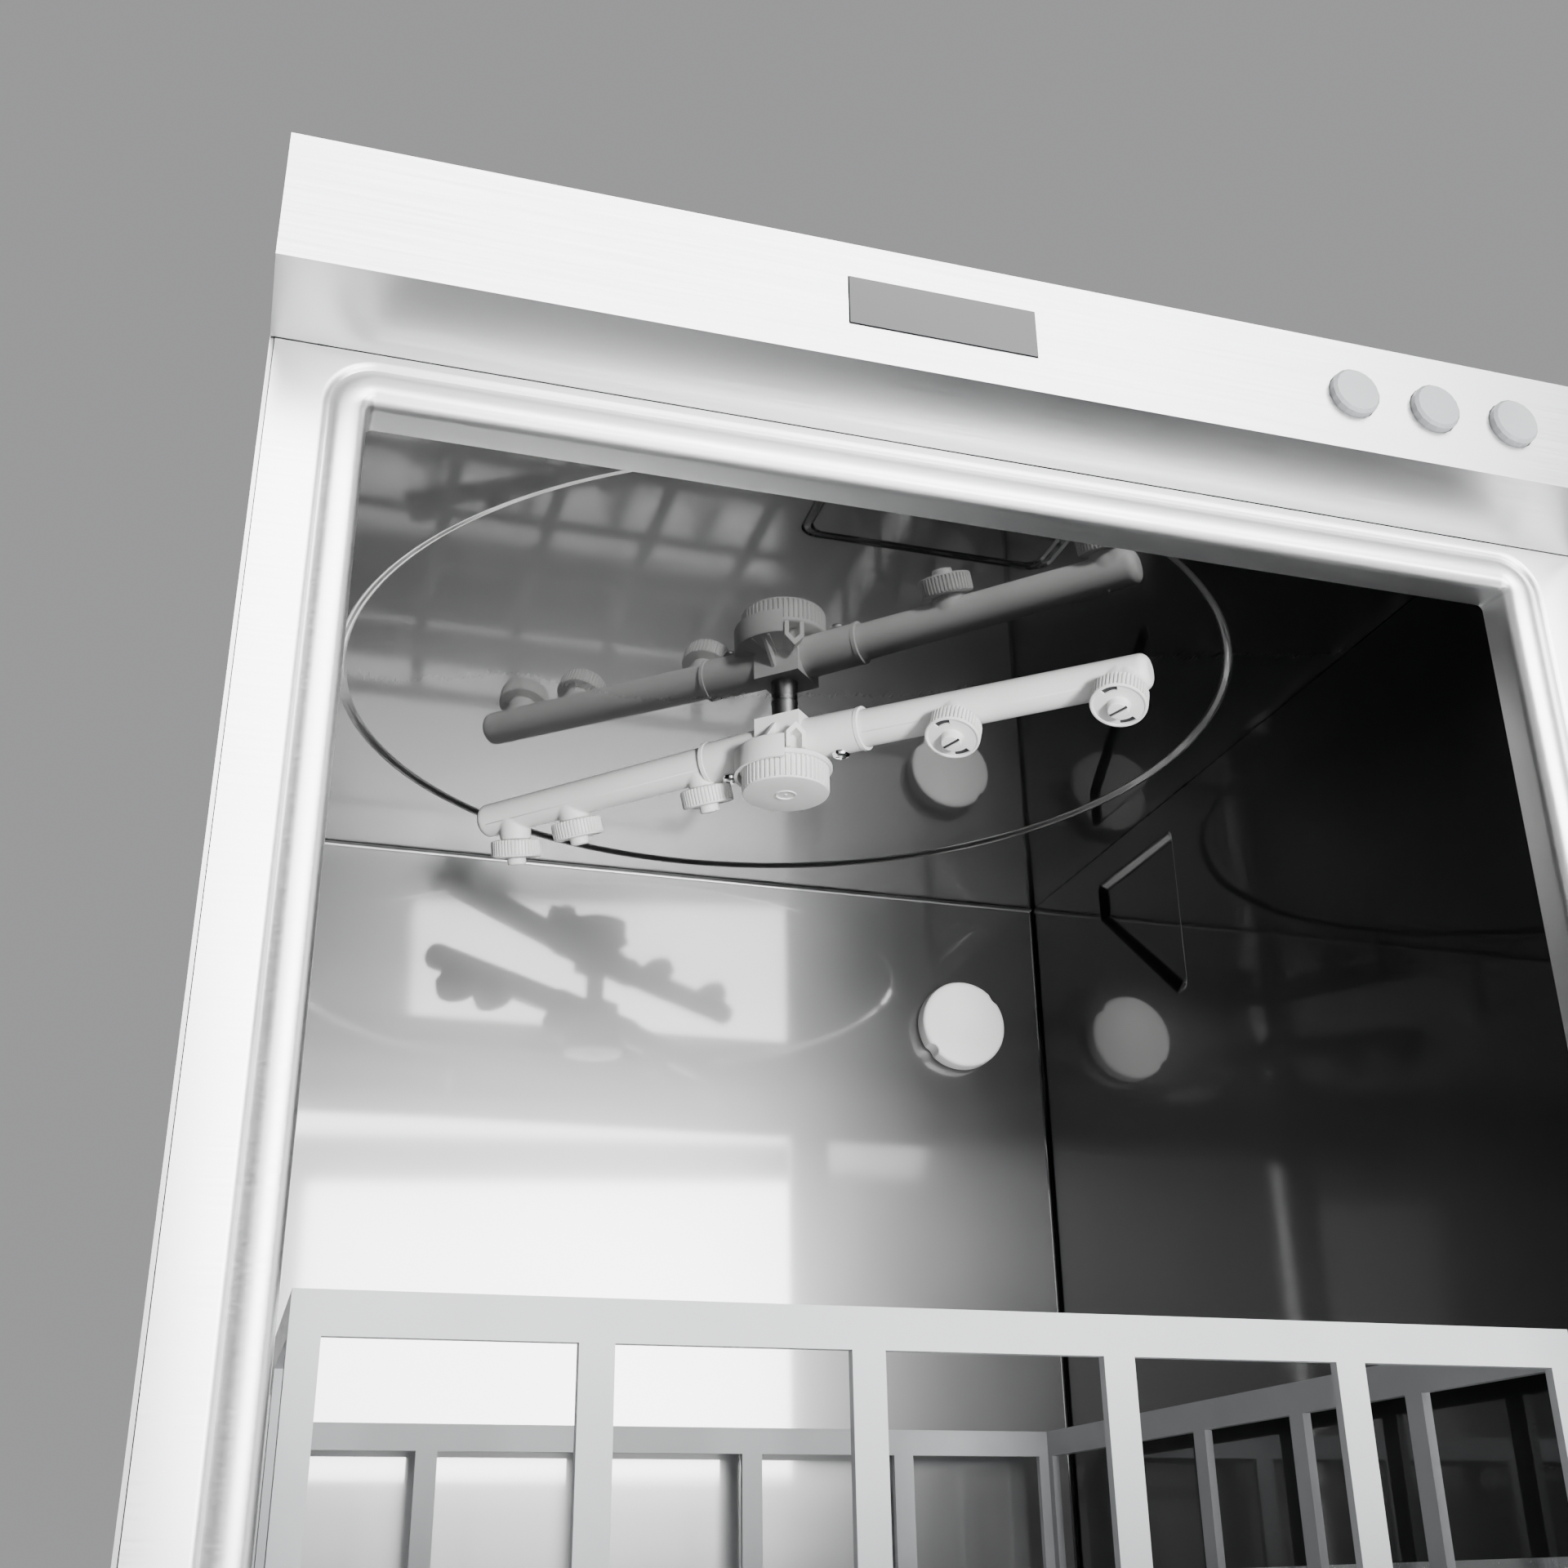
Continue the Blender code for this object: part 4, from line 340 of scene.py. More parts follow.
def eased(points, reach, steps=4):
    """The polyline with each inner corner rounded, starting at most reach from the corner."""
    points = [Vector(point) for point in points]
    route = [points[0]]
    for before, corner, after in zip(points, points[1:], points[2:]):
        into = before - corner
        out = after - corner
        start = corner + into.normalized() * min(reach, into.length * 0.49)
        end = corner + out.normalized() * min(reach, out.length * 0.49)
        for step in range(steps + 1):
            share = step / steps
            route.append(start * (1 - share) ** 2 + corner * 2 * share * (1 - share) + end * share**2)
    route.append(points[-1])
    return route


def circle(radius, sides, centre=(0, 0)):
    steps = (TURN * step / sides for step in range(sides))
    return [(centre[0] + radius * math.cos(a), centre[1] + radius * math.sin(a)) for a in steps]


def rounded_rectangle(low, high, radius, steps=8):
    outline = []
    corners = ((high[0], low[1], -1), (high[0], high[1], 0), (low[0], high[1], 1), (low[0], low[1], 2))
    for x, y, quarter in corners:
        centre_x = x - radius if x == high[0] else x + radius
        centre_y = y - radius if y == high[1] else y + radius
        for step in range(steps + 1):
            angle = TURN / 4 * (quarter + step / steps)
            outline.append((centre_x + radius * math.cos(angle), centre_y + radius * math.sin(angle)))
    return outline


def rounded_polygon(corners, radius, steps=8):
    """The polygon of these corners, counterclockwise, with each corner rounded by an arc."""
    outline = []
    for index, corner in enumerate(corners):
        before = corners[index - 1]
        after = corners[(index + 1) % len(corners)]
        arrive = math.atan2(corner[1] - before[1], corner[0] - before[0])
        leave = math.atan2(after[1] - corner[1], after[0] - corner[0])
        bend = (leave - arrive) % TURN
        reach = radius * math.tan(bend / 2)
        centre_x = corner[0] - reach * math.cos(arrive) - radius * math.sin(arrive)
        centre_y = corner[1] - reach * math.sin(arrive) + radius * math.cos(arrive)
        for step in range(steps + 1):
            angle = arrive - TURN / 4 + bend * step / steps
            outline.append((centre_x + radius * math.cos(angle), centre_y + radius * math.sin(angle)))
    return outline


def ribbed_circle(radius, depth, ribs):
    """A circle with flat-topped ribs standing depth above its grooves."""
    outline = []
    for rib in range(ribs):
        for share, reach in ((0.0, radius), (0.42, radius), (0.58, radius - depth), (0.84, radius - depth)):
            angle = TURN * (rib + share) / ribs
            outline.append((reach * math.cos(angle), reach * math.sin(angle)))
    return outline


def mesh_from(bm, name):
    bmesh.ops.recalc_face_normals(bm, faces=bm.faces)
    mesh = bpy.data.meshes.new(name)
    bm.to_mesh(mesh)
    bm.free()
    return mesh


def add_loop(bm, points):
    return [bm.verts.new(point) for point in points]


def bridge(bm, first, second):
    for index in range(len(first)):
        nearby = (index + 1) % len(first)
        bm.faces.new((first[index], first[nearby], second[nearby], second[index]))


def bridge_all(bm, loops):
    for first, second in zip(loops, loops[1:]):
        bridge(bm, first, second)


def close_loft(bm, loops):
    """The loops bridged in turn, with the first and the last filled."""
    bridge_all(bm, loops)
    bm.faces.new(loops[0])
    bm.faces.new(loops[-1])


def fill_between(bm, loops, normal=(0, 0, 1)):
    edges = []
    for loop in loops:
        for start, end in zip(loop, loop[1:] + loop[:1]):
            edges.append(bm.edges.get((start, end)) or bm.edges.new((start, end)))
    bmesh.ops.triangle_fill(bm, use_beauty=True, edges=edges, normal=normal)


def turned_mesh(name, profile, sides=64, ring=False):
    """A solid turned about z from (radius, z) points."""
    bm = bmesh.new()
    loops = []
    for radius, z in profile:
        if radius < 1e-6:
            loops.append([bm.verts.new((0, 0, z))])
        else:
            loops.append(add_loop(bm, [(x, y, z) for x, y in circle(radius, sides)]))
    pairs = list(zip(loops, loops[1:]))
    if ring:
        pairs.append((loops[-1], loops[0]))
    for first, second in pairs:
        if len(first) > 1 and len(second) > 1:
            bridge(bm, first, second)
            continue
        tip, rim = (first, second) if len(first) == 1 else (second, first)
        for index in range(len(rim)):
            bm.faces.new((tip[0], rim[index], rim[(index + 1) % len(rim)]))
    return mesh_from(bm, name)


def lofted_mesh(name, layers):
    """A closed solid through layers of outlines, each (outline, z), with its two ends filled."""
    bm = bmesh.new()
    loops = [add_loop(bm, [(x, y, z) for x, y in outline]) for outline, z in layers]
    close_loft(bm, loops)
    return mesh_from(bm, name)


def box_mesh(name, low, high):
    bm = bmesh.new()
    size = [top - bottom for bottom, top in zip(low, high)]
    middle = [(top + bottom) / 2 for bottom, top in zip(low, high)]
    bmesh.ops.create_cube(bm, size=1, matrix=Matrix.Translation(middle) @ Matrix.Diagonal((*size, 1)))
    return mesh_from(bm, name)


def prism_mesh(name, outline, bottom, top):
    return lofted_mesh(name, [(outline, bottom), (outline, top)])


def tool(mesh, matrix=None):
    """A scratch object, which bake() removes."""
    obj = bpy.data.objects.new(mesh.name, mesh)
    obj.matrix_world = matrix or Matrix.Identity(4)
    scene.collection.objects.link(obj)
    return obj


def bake(target, steps=(), voxel=0.0, smooth=0):
    """The target's mesh after its Booleans.

    With a voxel size it is also remeshed finely and smoothed, which rounds its inner corners.
    """
    for operation, other in steps:
        modifier = target.modifiers.new(operation, "BOOLEAN")
        modifier.operation = operation
        modifier.solver = "EXACT"
        modifier.object = other
    if voxel:
        modifier = target.modifiers.new("remesh", "REMESH")
        modifier.mode = "VOXEL"
        modifier.voxel_size = voxel
        modifier.use_smooth_shade = True
    if smooth:
        modifier = target.modifiers.new("smooth", "CORRECTIVE_SMOOTH")
        modifier.iterations = smooth
        modifier.use_only_smooth = True
    bpy.context.view_layer.update()
    graph = bpy.context.evaluated_depsgraph_get()
    mesh = bpy.data.meshes.new_from_object(target.evaluated_get(graph))
    mesh.transform(target.matrix_world)
    mesh.name = target.name
    for other in [target] + [other for _, other in steps]:
        bpy.data.objects.remove(other, do_unlink=True)
    return mesh


def add_piece(name, mesh, material, body, replaced=(), matrix=None, angle=35):
    """A new visible piece; edges sharper than angle, in degrees, stay crisp, and 0 leaves none crisp."""
    obj = bpy.data.objects.new(name, mesh)
    if obj.data.materials:
        obj.data.materials[0] = materials[material]
    else:
        obj.data.materials.append(materials[material])
    obj.matrix_world = matrix or Matrix.Identity(4)
    scene.collection.objects.link(obj)
    obj.data.shade_smooth()
    if angle:
        obj.data.set_sharp_from_angle(angle=math.radians(angle))
    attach(obj, body)
    if replaced:
        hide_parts(*replaced)
    return obj


def sheet_mesh(bm, name, thickness, outward):
    """The sheet given depth on the side that outward points to."""
    mesh = mesh_from(bm, name)
    facing = mesh.polygons[0].normal.dot(Vector(outward)) > 0
    obj = tool(mesh)
    modifier = obj.modifiers.new("sheet", "SOLIDIFY")
    modifier.thickness = thickness
    modifier.offset = 1 if facing else -1
    return bake(obj)


def slope_shares(steps=6):
    """Shares of the way down a pressed slope: (across, down), with a flat lip at each end."""
    shares = [(-0.08, 0.0)]
    for step in range(steps + 1):
        share = step / steps
        shares.append((share, share * share * (3 - 2 * share)))
    shares.append((1.08, 1.0))
    return shares


# Wash chamber


def make_ceiling():
    """The ceiling sheet, with its pressed ring, the recess inside that and the spindle's hole."""
    low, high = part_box("chamber_ceiling")
    z = CEILING_Z
    at = (SPINDLE_X, SPINDLE_Y)
    bm = bmesh.new()
    border = add_loop(
        bm, [(low[0], low[1], z), (high[0], low[1], z), (high[0], high[1], z), (low[0], high[1], z)]
    )
    rings = []
    for across, down in slope_shares():
        radius = RING_RADIUS - RING_BAND * across
        rings.append(add_loop(bm, [(x, y, z + RING_RISE * down) for x, y in circle(radius, RING_FACETS, at)]))
    fill_between(bm, [border, rings[0]])
    bridge_all(bm, rings)
    z += RING_RISE
    steps = []
    for across, down in RECESS_STEPS:
        inset = RECESS_SLOPE * across
        corner_low = (at[0] + RECESS_LEFT + inset, at[1] + RECESS_FRONT + inset)
        corner_high = (at[0] + RECESS_RIGHT - inset, at[1] + RECESS_REAR - 0.7 * inset)
        outline = rounded_rectangle(corner_low, corner_high, RECESS_CORNER - 0.5 * inset)
        steps.append(add_loop(bm, [(x, y, z + RECESS_RISE * down) for x, y in outline]))
    hole = add_loop(bm, [(x, y, z) for x, y in circle(SPINDLE_HOLE, 48, at)])
    fill_between(bm, [rings[-1], steps[0], hole])
    bridge_all(bm, steps)
    fill_between(bm, [steps[-1]])
    mesh = sheet_mesh(bm, "ceiling_pressing", LINER, (0, 0, 1))
    add_piece("ceiling_pressing", mesh, "ceiling_steel", CABINET, ["chamber_ceiling"])


def make_side_wall(name, node_name, side):
    """A side sheet with its pressed pocket; side is -1 on the left and 1 on the right."""
    low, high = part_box(node_name)
    front, back = low[1], high[1]
    bottom, top = low[2], high[2]
    face = CHAMBER_HALF * side
    near, far = SPINDLE_Y + POCKET_FRONT, SPINDLE_Y + POCKET_REAR
    upper, lower = CEILING_Z - POCKET_TOP, CEILING_Z - POCKET_DROP
    slope = POCKET_SLOPE
    rim_corners = [
        (near, lower),
        (near + POCKET_FOOT, lower),
        (far, upper - POCKET_REAR_EDGE),
        (far, upper),
        (near, upper),
    ]
    floor_corners = [
        (near + slope, lower + 1.6 * slope),
        (near + POCKET_FLOOR_FOOT, lower + 1.6 * slope),
        (far - slope, upper - POCKET_FLOOR_REAR_EDGE),
        (far - slope, upper - slope),
        (near + slope, upper - slope),
    ]
    bm = bmesh.new()
    border = [(face, front, bottom), (face, back, bottom), (face, back, top), (face, front, top)]
    outer_loop = add_loop(bm, border)
    rim = rounded_polygon(rim_corners, POCKET_CORNER)
    floor = rounded_polygon(floor_corners, POCKET_FLOOR_CORNER)
    loops = []
    for across, down in slope_shares():
        points = []
        for (y1, z1), (y2, z2) in zip(rim, floor):
            depth = side * POCKET_RISE * down
            points.append((face + depth, y1 + (y2 - y1) * across, z1 + (z2 - z1) * across))
        loops.append(add_loop(bm, points))
    fill_between(bm, [outer_loop, loops[0]], (1, 0, 0))
    bridge_all(bm, loops)
    fill_between(bm, [loops[-1]], (1, 0, 0))
    mesh = sheet_mesh(bm, name, LINER, (side, 0, 0))
    add_piece(name, mesh, "side_steel", CABINET, [node_name])


def make_seams():
    """Rounded inner corners where the chamber's sheets meet."""
    low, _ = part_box("chamber_back_wall")
    angles = [TURN / 4 * step / 6 for step in range(7)]
    arc = [(SEAM_RADIUS * (1 - math.sin(a)), SEAM_RADIUS * (1 - math.cos(a))) for a in angles]
    outline = [(0, 0), *arc]
    edge = CHAMBER_HALF - 2 * SEAM_LAP
    back = low[1] - SEAM_LAP
    top = CEILING_Z - SEAM_LAP
    spots = {
        "seam_top": ((-edge, back, top), (edge, back, top), (0, -1, 0), (0, 0, -1)),
        "seam_left": ((-edge, back, top), (-edge, back, low[2]), (1, 0, 0), (0, -1, 0)),
        "seam_right": ((edge, back, top), (edge, back, low[2]), (-1, 0, 0), (0, -1, 0)),
    }
    for name, (start, end, first, second) in spots.items():
        bm = bmesh.new()
        loops = []
        for place in (start, end):
            points = [Vector(place) + Vector(first) * x + Vector(second) * y for x, y in outline]
            loops.append(add_loop(bm, points))
        close_loft(bm, loops)
        # The seams take the painted light and shade of the walls they join.
        finish = "back_steel" if name == "seam_top" else "side_steel"
        add_piece(name, mesh_from(bm, name), finish, CABINET, angle=50)


def make_wall_cap():
    """The white cap on the back wall, dished, with two scoops in its rim."""
    low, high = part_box("wall_cap")
    radius = (high[0] - low[0]) / 2
    thickness = high[1] - low[1]
    profile = eased(
        [
            (0, thickness - 1.3 * MM),
            (6 * MM, thickness - 1.2 * MM),
            (13 * MM, thickness),
            (radius - 0.5 * MM, thickness - 0.3 * MM),
            (radius, thickness - 5 * MM),
            (radius, 0),
            (0, 0),
        ],
        WALL_CAP_ROUNDING,
        8,
    )
    body = tool(turned_mesh("wall_cap_body", [tuple(p)[:2] for p in profile], 96))
    steps = []
    reach = radius + 2.6 * MM
    scoop = [(0, -1 * MM), (WALL_CAP_SCOOP, -1 * MM), (WALL_CAP_SCOOP, 20 * MM), (0, 20 * MM)]
    for index, angle in enumerate((math.radians(140), math.radians(-40))):
        notch = turned_mesh(f"cap_notch_{index}", scoop, 48)
        place = Matrix.Translation((reach * math.cos(angle), -reach * math.sin(angle), 0))
        steps.append(("DIFFERENCE", tool(notch, place)))
    mesh = bake(body, steps, 0.45 * MM, 4)
    centre = Vector(((low[0] + high[0]) / 2, high[1], (low[2] + high[2]) / 2))
    matrix = Matrix.Translation(centre) @ Matrix.Rotation(TURN / 4, 4, "X")
    add_piece("wall_cap_moulding", mesh, "cap_plastic", CABINET, ["wall_cap"], matrix, 0)


# Spray arm


def arm_matrix(half=None):
    """The arm's own place, or that of one of its halves, whose x points out along it."""
    turn = Matrix.Rotation(ARM_AZIMUTH, 4, "Z")
    base = Matrix.Translation((SPINDLE_X, SPINDLE_Y, ARM_Z)) @ turn
    if half == "left":
        base = base @ Matrix.Rotation(TURN / 2, 4, "Z")
    if half:
        base = base @ Matrix.Rotation(ARM_DROOP, 4, "Y")
    return base


def nozzle_matrix(station, tilt, splay):
    """A nozzle's place on its half of the arm, leaning by its tilt and splay."""
    lean = Matrix.Rotation(-splay, 4, "Y") @ Matrix.Rotation(-tilt, 4, "X")
    return Matrix.Translation((station, 0, 0)) @ lean


def make_arm_tube(name, node_name, half, reach, nozzles):
    """One tube of the arm with its nozzles' necks, and on the right its end boss and moulding pip."""
    root, tip, end = TUBE_ROOT_RADIUS, TUBE_TIP_RADIUS, TUBE_END_ROUND
    profile = [(0, reach)]
    for step in range(9):
        angle = TURN / 4 * (1 - step / 8)
        profile.append((tip - end + end * math.cos(angle), reach - end + end * math.sin(angle)))
    profile += [(root, TUBE_START), (0, TUBE_START)]
    steps = []
    for index, (station, tilt, splay, neck) in enumerate(nozzles):
        place = nozzle_matrix(station, tilt, splay)
        shape = [(0, -2 * MM), (NECK_ROOT_RADIUS, -2 * MM), (NECK_FOOT_RADIUS, -neck), (0, -neck)]
        steps.append(("UNION", tool(turned_mesh(f"{name}_neck_{index}", shape, 48), place)))
    if half == "right":
        station, tilt, splay, neck = nozzles[-1]
        boss = [(0, 0), (7.6 * MM, 0), (7.2 * MM, -neck), (0, -neck)]
        place = Matrix.Translation((3.6 * MM, 0, 0)) @ nozzle_matrix(station, tilt, splay)
        steps.append(("UNION", tool(turned_mesh(f"{name}_boss", boss, 48), place)))
        pip = [(0, 9.2 * MM), (0.6 * MM, 9 * MM), (0.9 * MM, 7 * MM), (0, 7 * MM)]
        place = Matrix.Translation((station - 2 * MM, 0, 0))
        steps.append(("UNION", tool(turned_mesh(f"{name}_pip", pip, 16), place)))
    mesh = bake(tool(turned_mesh(name, profile, 72), ALONG), steps, 0.5 * MM, 5)
    seam = seam_ridge(root, tip, reach)
    add_piece(name, mesh, "arm_plastic", ARM, [node_name], arm_matrix(half), 0)
    add_piece(f"{name}_mould_line", seam, "arm_plastic", ARM, (), arm_matrix(half), 0)


def seam_ridge(root, tip, reach):
    """The mould's parting line, low on each side of a tube."""
    start, end = 41 * MM, reach - 6 * MM
    bm = bmesh.new()
    for side in (-1, 1):
        loops = []
        for station, radius in ((start, root - 0.12 * MM), (end, tip + 0.02 * MM)):
            angle = math.radians(-38)
            out = Vector((0, side * math.cos(angle), math.sin(angle)))
            across = Vector((0, -side * math.sin(angle), math.cos(angle)))
            centre = Vector((station, 0, 0)) + out * radius
            points = [
                centre - across * 0.35 * MM - out * 0.3 * MM,
                centre + out * 0.12 * MM,
                centre + across * 0.35 * MM - out * 0.3 * MM,
            ]
            loops.append(add_loop(bm, points))
        close_loft(bm, loops)
    return mesh_from(bm, "mould_line")


def make_hub():
    """The hub: a block, a sleeve for each tube, the cowl with its ribs, a gusset, an arch and the bore."""
    foot = HUB_FOOT
    block_low = (-10 * MM, -HUB_HALF_WIDTH, foot)
    block_high = (12.4 * MM, HUB_HALF_WIDTH, HUB_TOP)
    block = tool(box_mesh("hub_block", block_low, block_high))
    steps = []
    outer, bore, end = SLEEVE_RADIUS, SLEEVE_BORE, SLEEVE_END
    for half, turn in (("right", Matrix.Identity(4)), ("left", Matrix.Rotation(TURN / 2, 4, "Z"))):
        place = turn @ Matrix.Rotation(ARM_DROOP, 4, "Y") @ ALONG
        sleeve = turned_mesh(
            f"hub_sleeve_{half}",
            [
                (0, 5 * MM),
                (outer, 5 * MM),
                (outer, end - 2.2 * MM),
                (outer + 0.35 * MM, end - 1.9 * MM),
                (outer + 0.35 * MM, end - 0.2 * MM),
                (outer, end),
                (bore, end),
                (bore, end - 0.6 * MM),
                (0, end - 0.6 * MM),
            ],
            72,
        )
        steps.append(("UNION", tool(sleeve, place)))
    steps.append(("UNION", tool(skirt_mesh(SKIRT_START, SKIRT_END))))
    for angle in HUB_RIB_DEGREES:
        steps.append(("UNION", tool(rib_mesh(math.radians(angle)))))
    gusset = [
        (-9.8 * MM, 7.5 * MM),
        (-20.5 * MM, -4.8 * MM),
        (-20.5 * MM, foot + 1 * MM),
        (-9.8 * MM, foot + 1 * MM),
    ]
    across = Matrix(((0, 0, 1, 0), (1, 0, 0, 0), (0, 1, 0, 0), (0, 0, 0, 1)))
    steps.append(("UNION", tool(prism_mesh("hub_gusset", gusset, -0.7 * MM, 0.7 * MM), across)))
    steps.append(("UNION", tool(arch_mesh(foot))))
    bore_top, bore_foot = 12 * MM, -13 * MM
    bore_profile = [(0, bore_top), (HUB_BORE, bore_top), (HUB_BORE, bore_foot), (0, bore_foot)]
    steps.append(("DIFFERENCE", tool(turned_mesh("hub_bore", bore_profile, 48))))
    mesh = bake(block, steps)
    add_piece("spray_hub", mesh, "arm_plastic", ARM, ["upper_arm_hub"], arm_matrix(), 32)


def skirt_mesh(start, end, steps=40):
    """The hub's cowl: a sloping roof from the block out to a skirt over the nut's rim."""
    section = [
        (8 * MM, -1.5 * MM),
        (11 * MM, -1.5 * MM),
        (22.6 * MM, -5.2 * MM),
        (23.1 * MM, -6 * MM),
        (23.1 * MM, -16.4 * MM),
        (21.7 * MM, -16.4 * MM),
        (21.7 * MM, -10.9 * MM),
        (8 * MM, -10.9 * MM),
    ]
    bm = bmesh.new()
    loops = []
    for step in range(steps + 1):
        angle = start + (end - start) * step / steps
        points = [(r * math.cos(angle), r * math.sin(angle), z) for r, z in section]
        loops.append(add_loop(bm, points))
    close_loft(bm, loops)
    return mesh_from(bm, "hub_skirt")


def rib_mesh(angle):
    """A low radial rib on the cowl's roof."""
    half = 0.45 * MM
    outline = [(10 * MM, -half), (21.8 * MM, -half), (21.8 * MM, half), (10 * MM, half)]
    turn = Matrix.Rotation(angle, 4, "Z")
    bm = bmesh.new()
    tops = [-0.7 * MM, -4.4 * MM, -4.4 * MM, -0.7 * MM]
    lower = add_loop(bm, [turn @ Vector((x, y, -6 * MM)) for x, y in outline])
    upper = add_loop(bm, [turn @ Vector((x, y, z)) for (x, y), z in zip(outline, tops)])
    close_loft(bm, [lower, upper])
    return mesh_from(bm, "hub_rib")


def arch_mesh(foot):
    """The pointed arch beside the end of the cowl, on the hub's near face."""
    width, window = 4.4 * MM, 2.6 * MM
    bm = bmesh.new()
    shapes = []
    for half, peak, eave in ((width, 1.2 * MM, -3.6 * MM), (window, -1.9 * MM, -4.8 * MM)):
        shapes.append([(half, foot), (half, eave), (0, peak), (-half, eave), (-half, foot)])
    outer, inner = shapes
    outline = outer + [(x, z) for x, z in reversed(inner)]
    turn = Matrix.Rotation(math.radians(-50), 4, "Z")
    layers = []
    for out in (9 * MM, 21.6 * MM):
        layers.append(add_loop(bm, [turn @ Vector((out, x, z)) for x, z in outline]))
    close_loft(bm, layers)
    return mesh_from(bm, "hub_arch")


def make_hub_nut():
    """The ribbed nut under the hub, with a flange at its top and a raised ring and pip in its face."""
    top = NUT_TOP
    bottom = top - NUT_HEIGHT
    flange, radius, ribs = NUT_FLANGE, NUT_RADIUS, NUT_RIBS
    smooth = circle(flange, ribs * 4)
    under = top - 2.4 * MM
    layers = [
        (circle(flange - 0.6 * MM, ribs * 4), top),
        (smooth, top - 0.5 * MM),
        (smooth, under + 0.5 * MM),
        (circle(flange - 0.6 * MM, ribs * 4), under),
        (ribbed_circle(radius, 1.3 * MM, ribs), under),
        (ribbed_circle(radius, 1.3 * MM, ribs), bottom + 1.6 * MM),
        (ribbed_circle(radius - 0.1 * MM, 0.35 * MM, ribs), bottom + 1.1 * MM),
        (circle(radius - 0.15 * MM, ribs * 4), bottom + 0.9 * MM),
        (circle(radius - 0.5 * MM, ribs * 4), bottom + 0.25 * MM),
        (circle(radius - 1.3 * MM, ribs * 4), bottom),
        (circle(4.9 * MM, ribs * 4), bottom),
        (circle(4.7 * MM, ribs * 4), bottom - 0.4 * MM),
        (circle(4.2 * MM, ribs * 4), bottom - 0.4 * MM),
        (circle(4.0 * MM, ribs * 4), bottom + 0.1 * MM),
        (circle(0.8 * MM, ribs * 4), bottom + 0.1 * MM),
        (circle(0.5 * MM, ribs * 4), bottom - 0.25 * MM),
    ]
    mesh = lofted_mesh("hub_nut", layers)
    add_piece("spray_hub_nut", mesh, "arm_plastic", ARM, ["upper_arm_nut"], arm_matrix(), 28)


def nozzle_cap_mesh():
    """A screwed nozzle cap, its top at z 0, with ribs, a rimmed face, two slots and a slotted plug."""
    radius, ribs = CAP_RADIUS, CAP_RIBS
    sides = ribs * 4
    face = -CAP_HEIGHT
    layers = [
        (circle(radius - 1.2 * MM, sides), 0),
        (circle(radius - 0.5 * MM, sides), -0.3 * MM),
        (ribbed_circle(radius, 1.1 * MM, ribs), -1.0 * MM),
        (ribbed_circle(radius, 1.1 * MM, ribs), face + 1.3 * MM),
        (circle(radius - 0.1 * MM, sides), face + 0.8 * MM),
        (circle(radius - 0.3 * MM, sides), face + 0.2 * MM),
        (circle(radius - 0.8 * MM, sides), face),
        (circle(radius - 1.3 * MM, sides), face + 0.1 * MM),
        (circle(radius - 1.6 * MM, sides), face + 0.45 * MM),
        (circle(5.0 * MM, sides), face + 0.45 * MM),
        (circle(4.6 * MM, sides), face + 0.2 * MM),
        (circle(4.5 * MM, sides), face - 2.9 * MM),
        (circle(4.1 * MM, sides), face - 3.4 * MM),
        (circle(3.6 * MM, sides), face - 3.5 * MM),
    ]
    body = tool(lofted_mesh("nozzle_cap", layers))
    steps = []
    for start in (math.radians(62), math.radians(242)):
        angles = [start + WINDOW_SWEEP * step / 8 for step in range(9)]
        outline = [(WINDOW_OUTER * math.cos(a), WINDOW_OUTER * math.sin(a)) for a in angles]
        outline += [(WINDOW_INNER * math.cos(a), WINDOW_INNER * math.sin(a)) for a in reversed(angles)]
        window = prism_mesh("cap_window", outline, face - 1 * MM, face + 1.35 * MM)
        steps.append(("DIFFERENCE", tool(window)))
    floor = face - 3.0 * MM
    slot = box_mesh("plug_slot", (-4.9 * MM, -0.7 * MM, face - 4 * MM), (4.9 * MM, 0.7 * MM, floor))
    steps.append(("DIFFERENCE", tool(slot, Matrix.Rotation(PLUG_SLOT_TURN, 4, "Z"))))
    mesh = bake(body, steps)
    # The floors of the windows and of the slot take the second, black material, as painted shade in these
    # hollows
    for polygon in mesh.polygons:
        centre = polygon.center
        shaded_window_floor = WINDOW_INNER < centre.xy.length < WINDOW_OUTER and centre.z > face + 1.2 * MM
        shaded_slot_floor = centre.xy.length < 4.4 * MM and abs(centre.z - floor) < 0.1 * MM
        if polygon.normal.z < -0.9 and (shaded_window_floor or shaded_slot_floor):
            polygon.material_index = 1
    return mesh


def make_nozzle_caps(left_nozzles, right_nozzles):
    """A cap for each nozzle, all from one mesh; each one on the left is turned on from the last."""
    mesh = nozzle_cap_mesh()
    for half, nozzles in (("left", left_nozzles), ("right", right_nozzles)):
        for index, (station, tilt, splay, neck) in enumerate(nozzles):
            spin = Matrix.Rotation(CAP_SPIN * index if half == "left" else 0, 4, "Z")
            lower = Matrix.Translation((0, 0, -neck - 0.3 * MM))
            matrix = arm_matrix(half) @ nozzle_matrix(station, tilt, splay) @ lower @ spin
            name = f"nozzle_cap_{half}_{index + 1}"
            replaced = [f"upper_nozzle_{half}_{index + 1}"]
            cap = add_piece(name, mesh.copy(), "arm_plastic", ARM, replaced, matrix, 28)
            # The second material, black, is painted shade on the floors of the windows and of the plug's
            # slot.
            cap.data.materials.append(materials["black_plastic"])


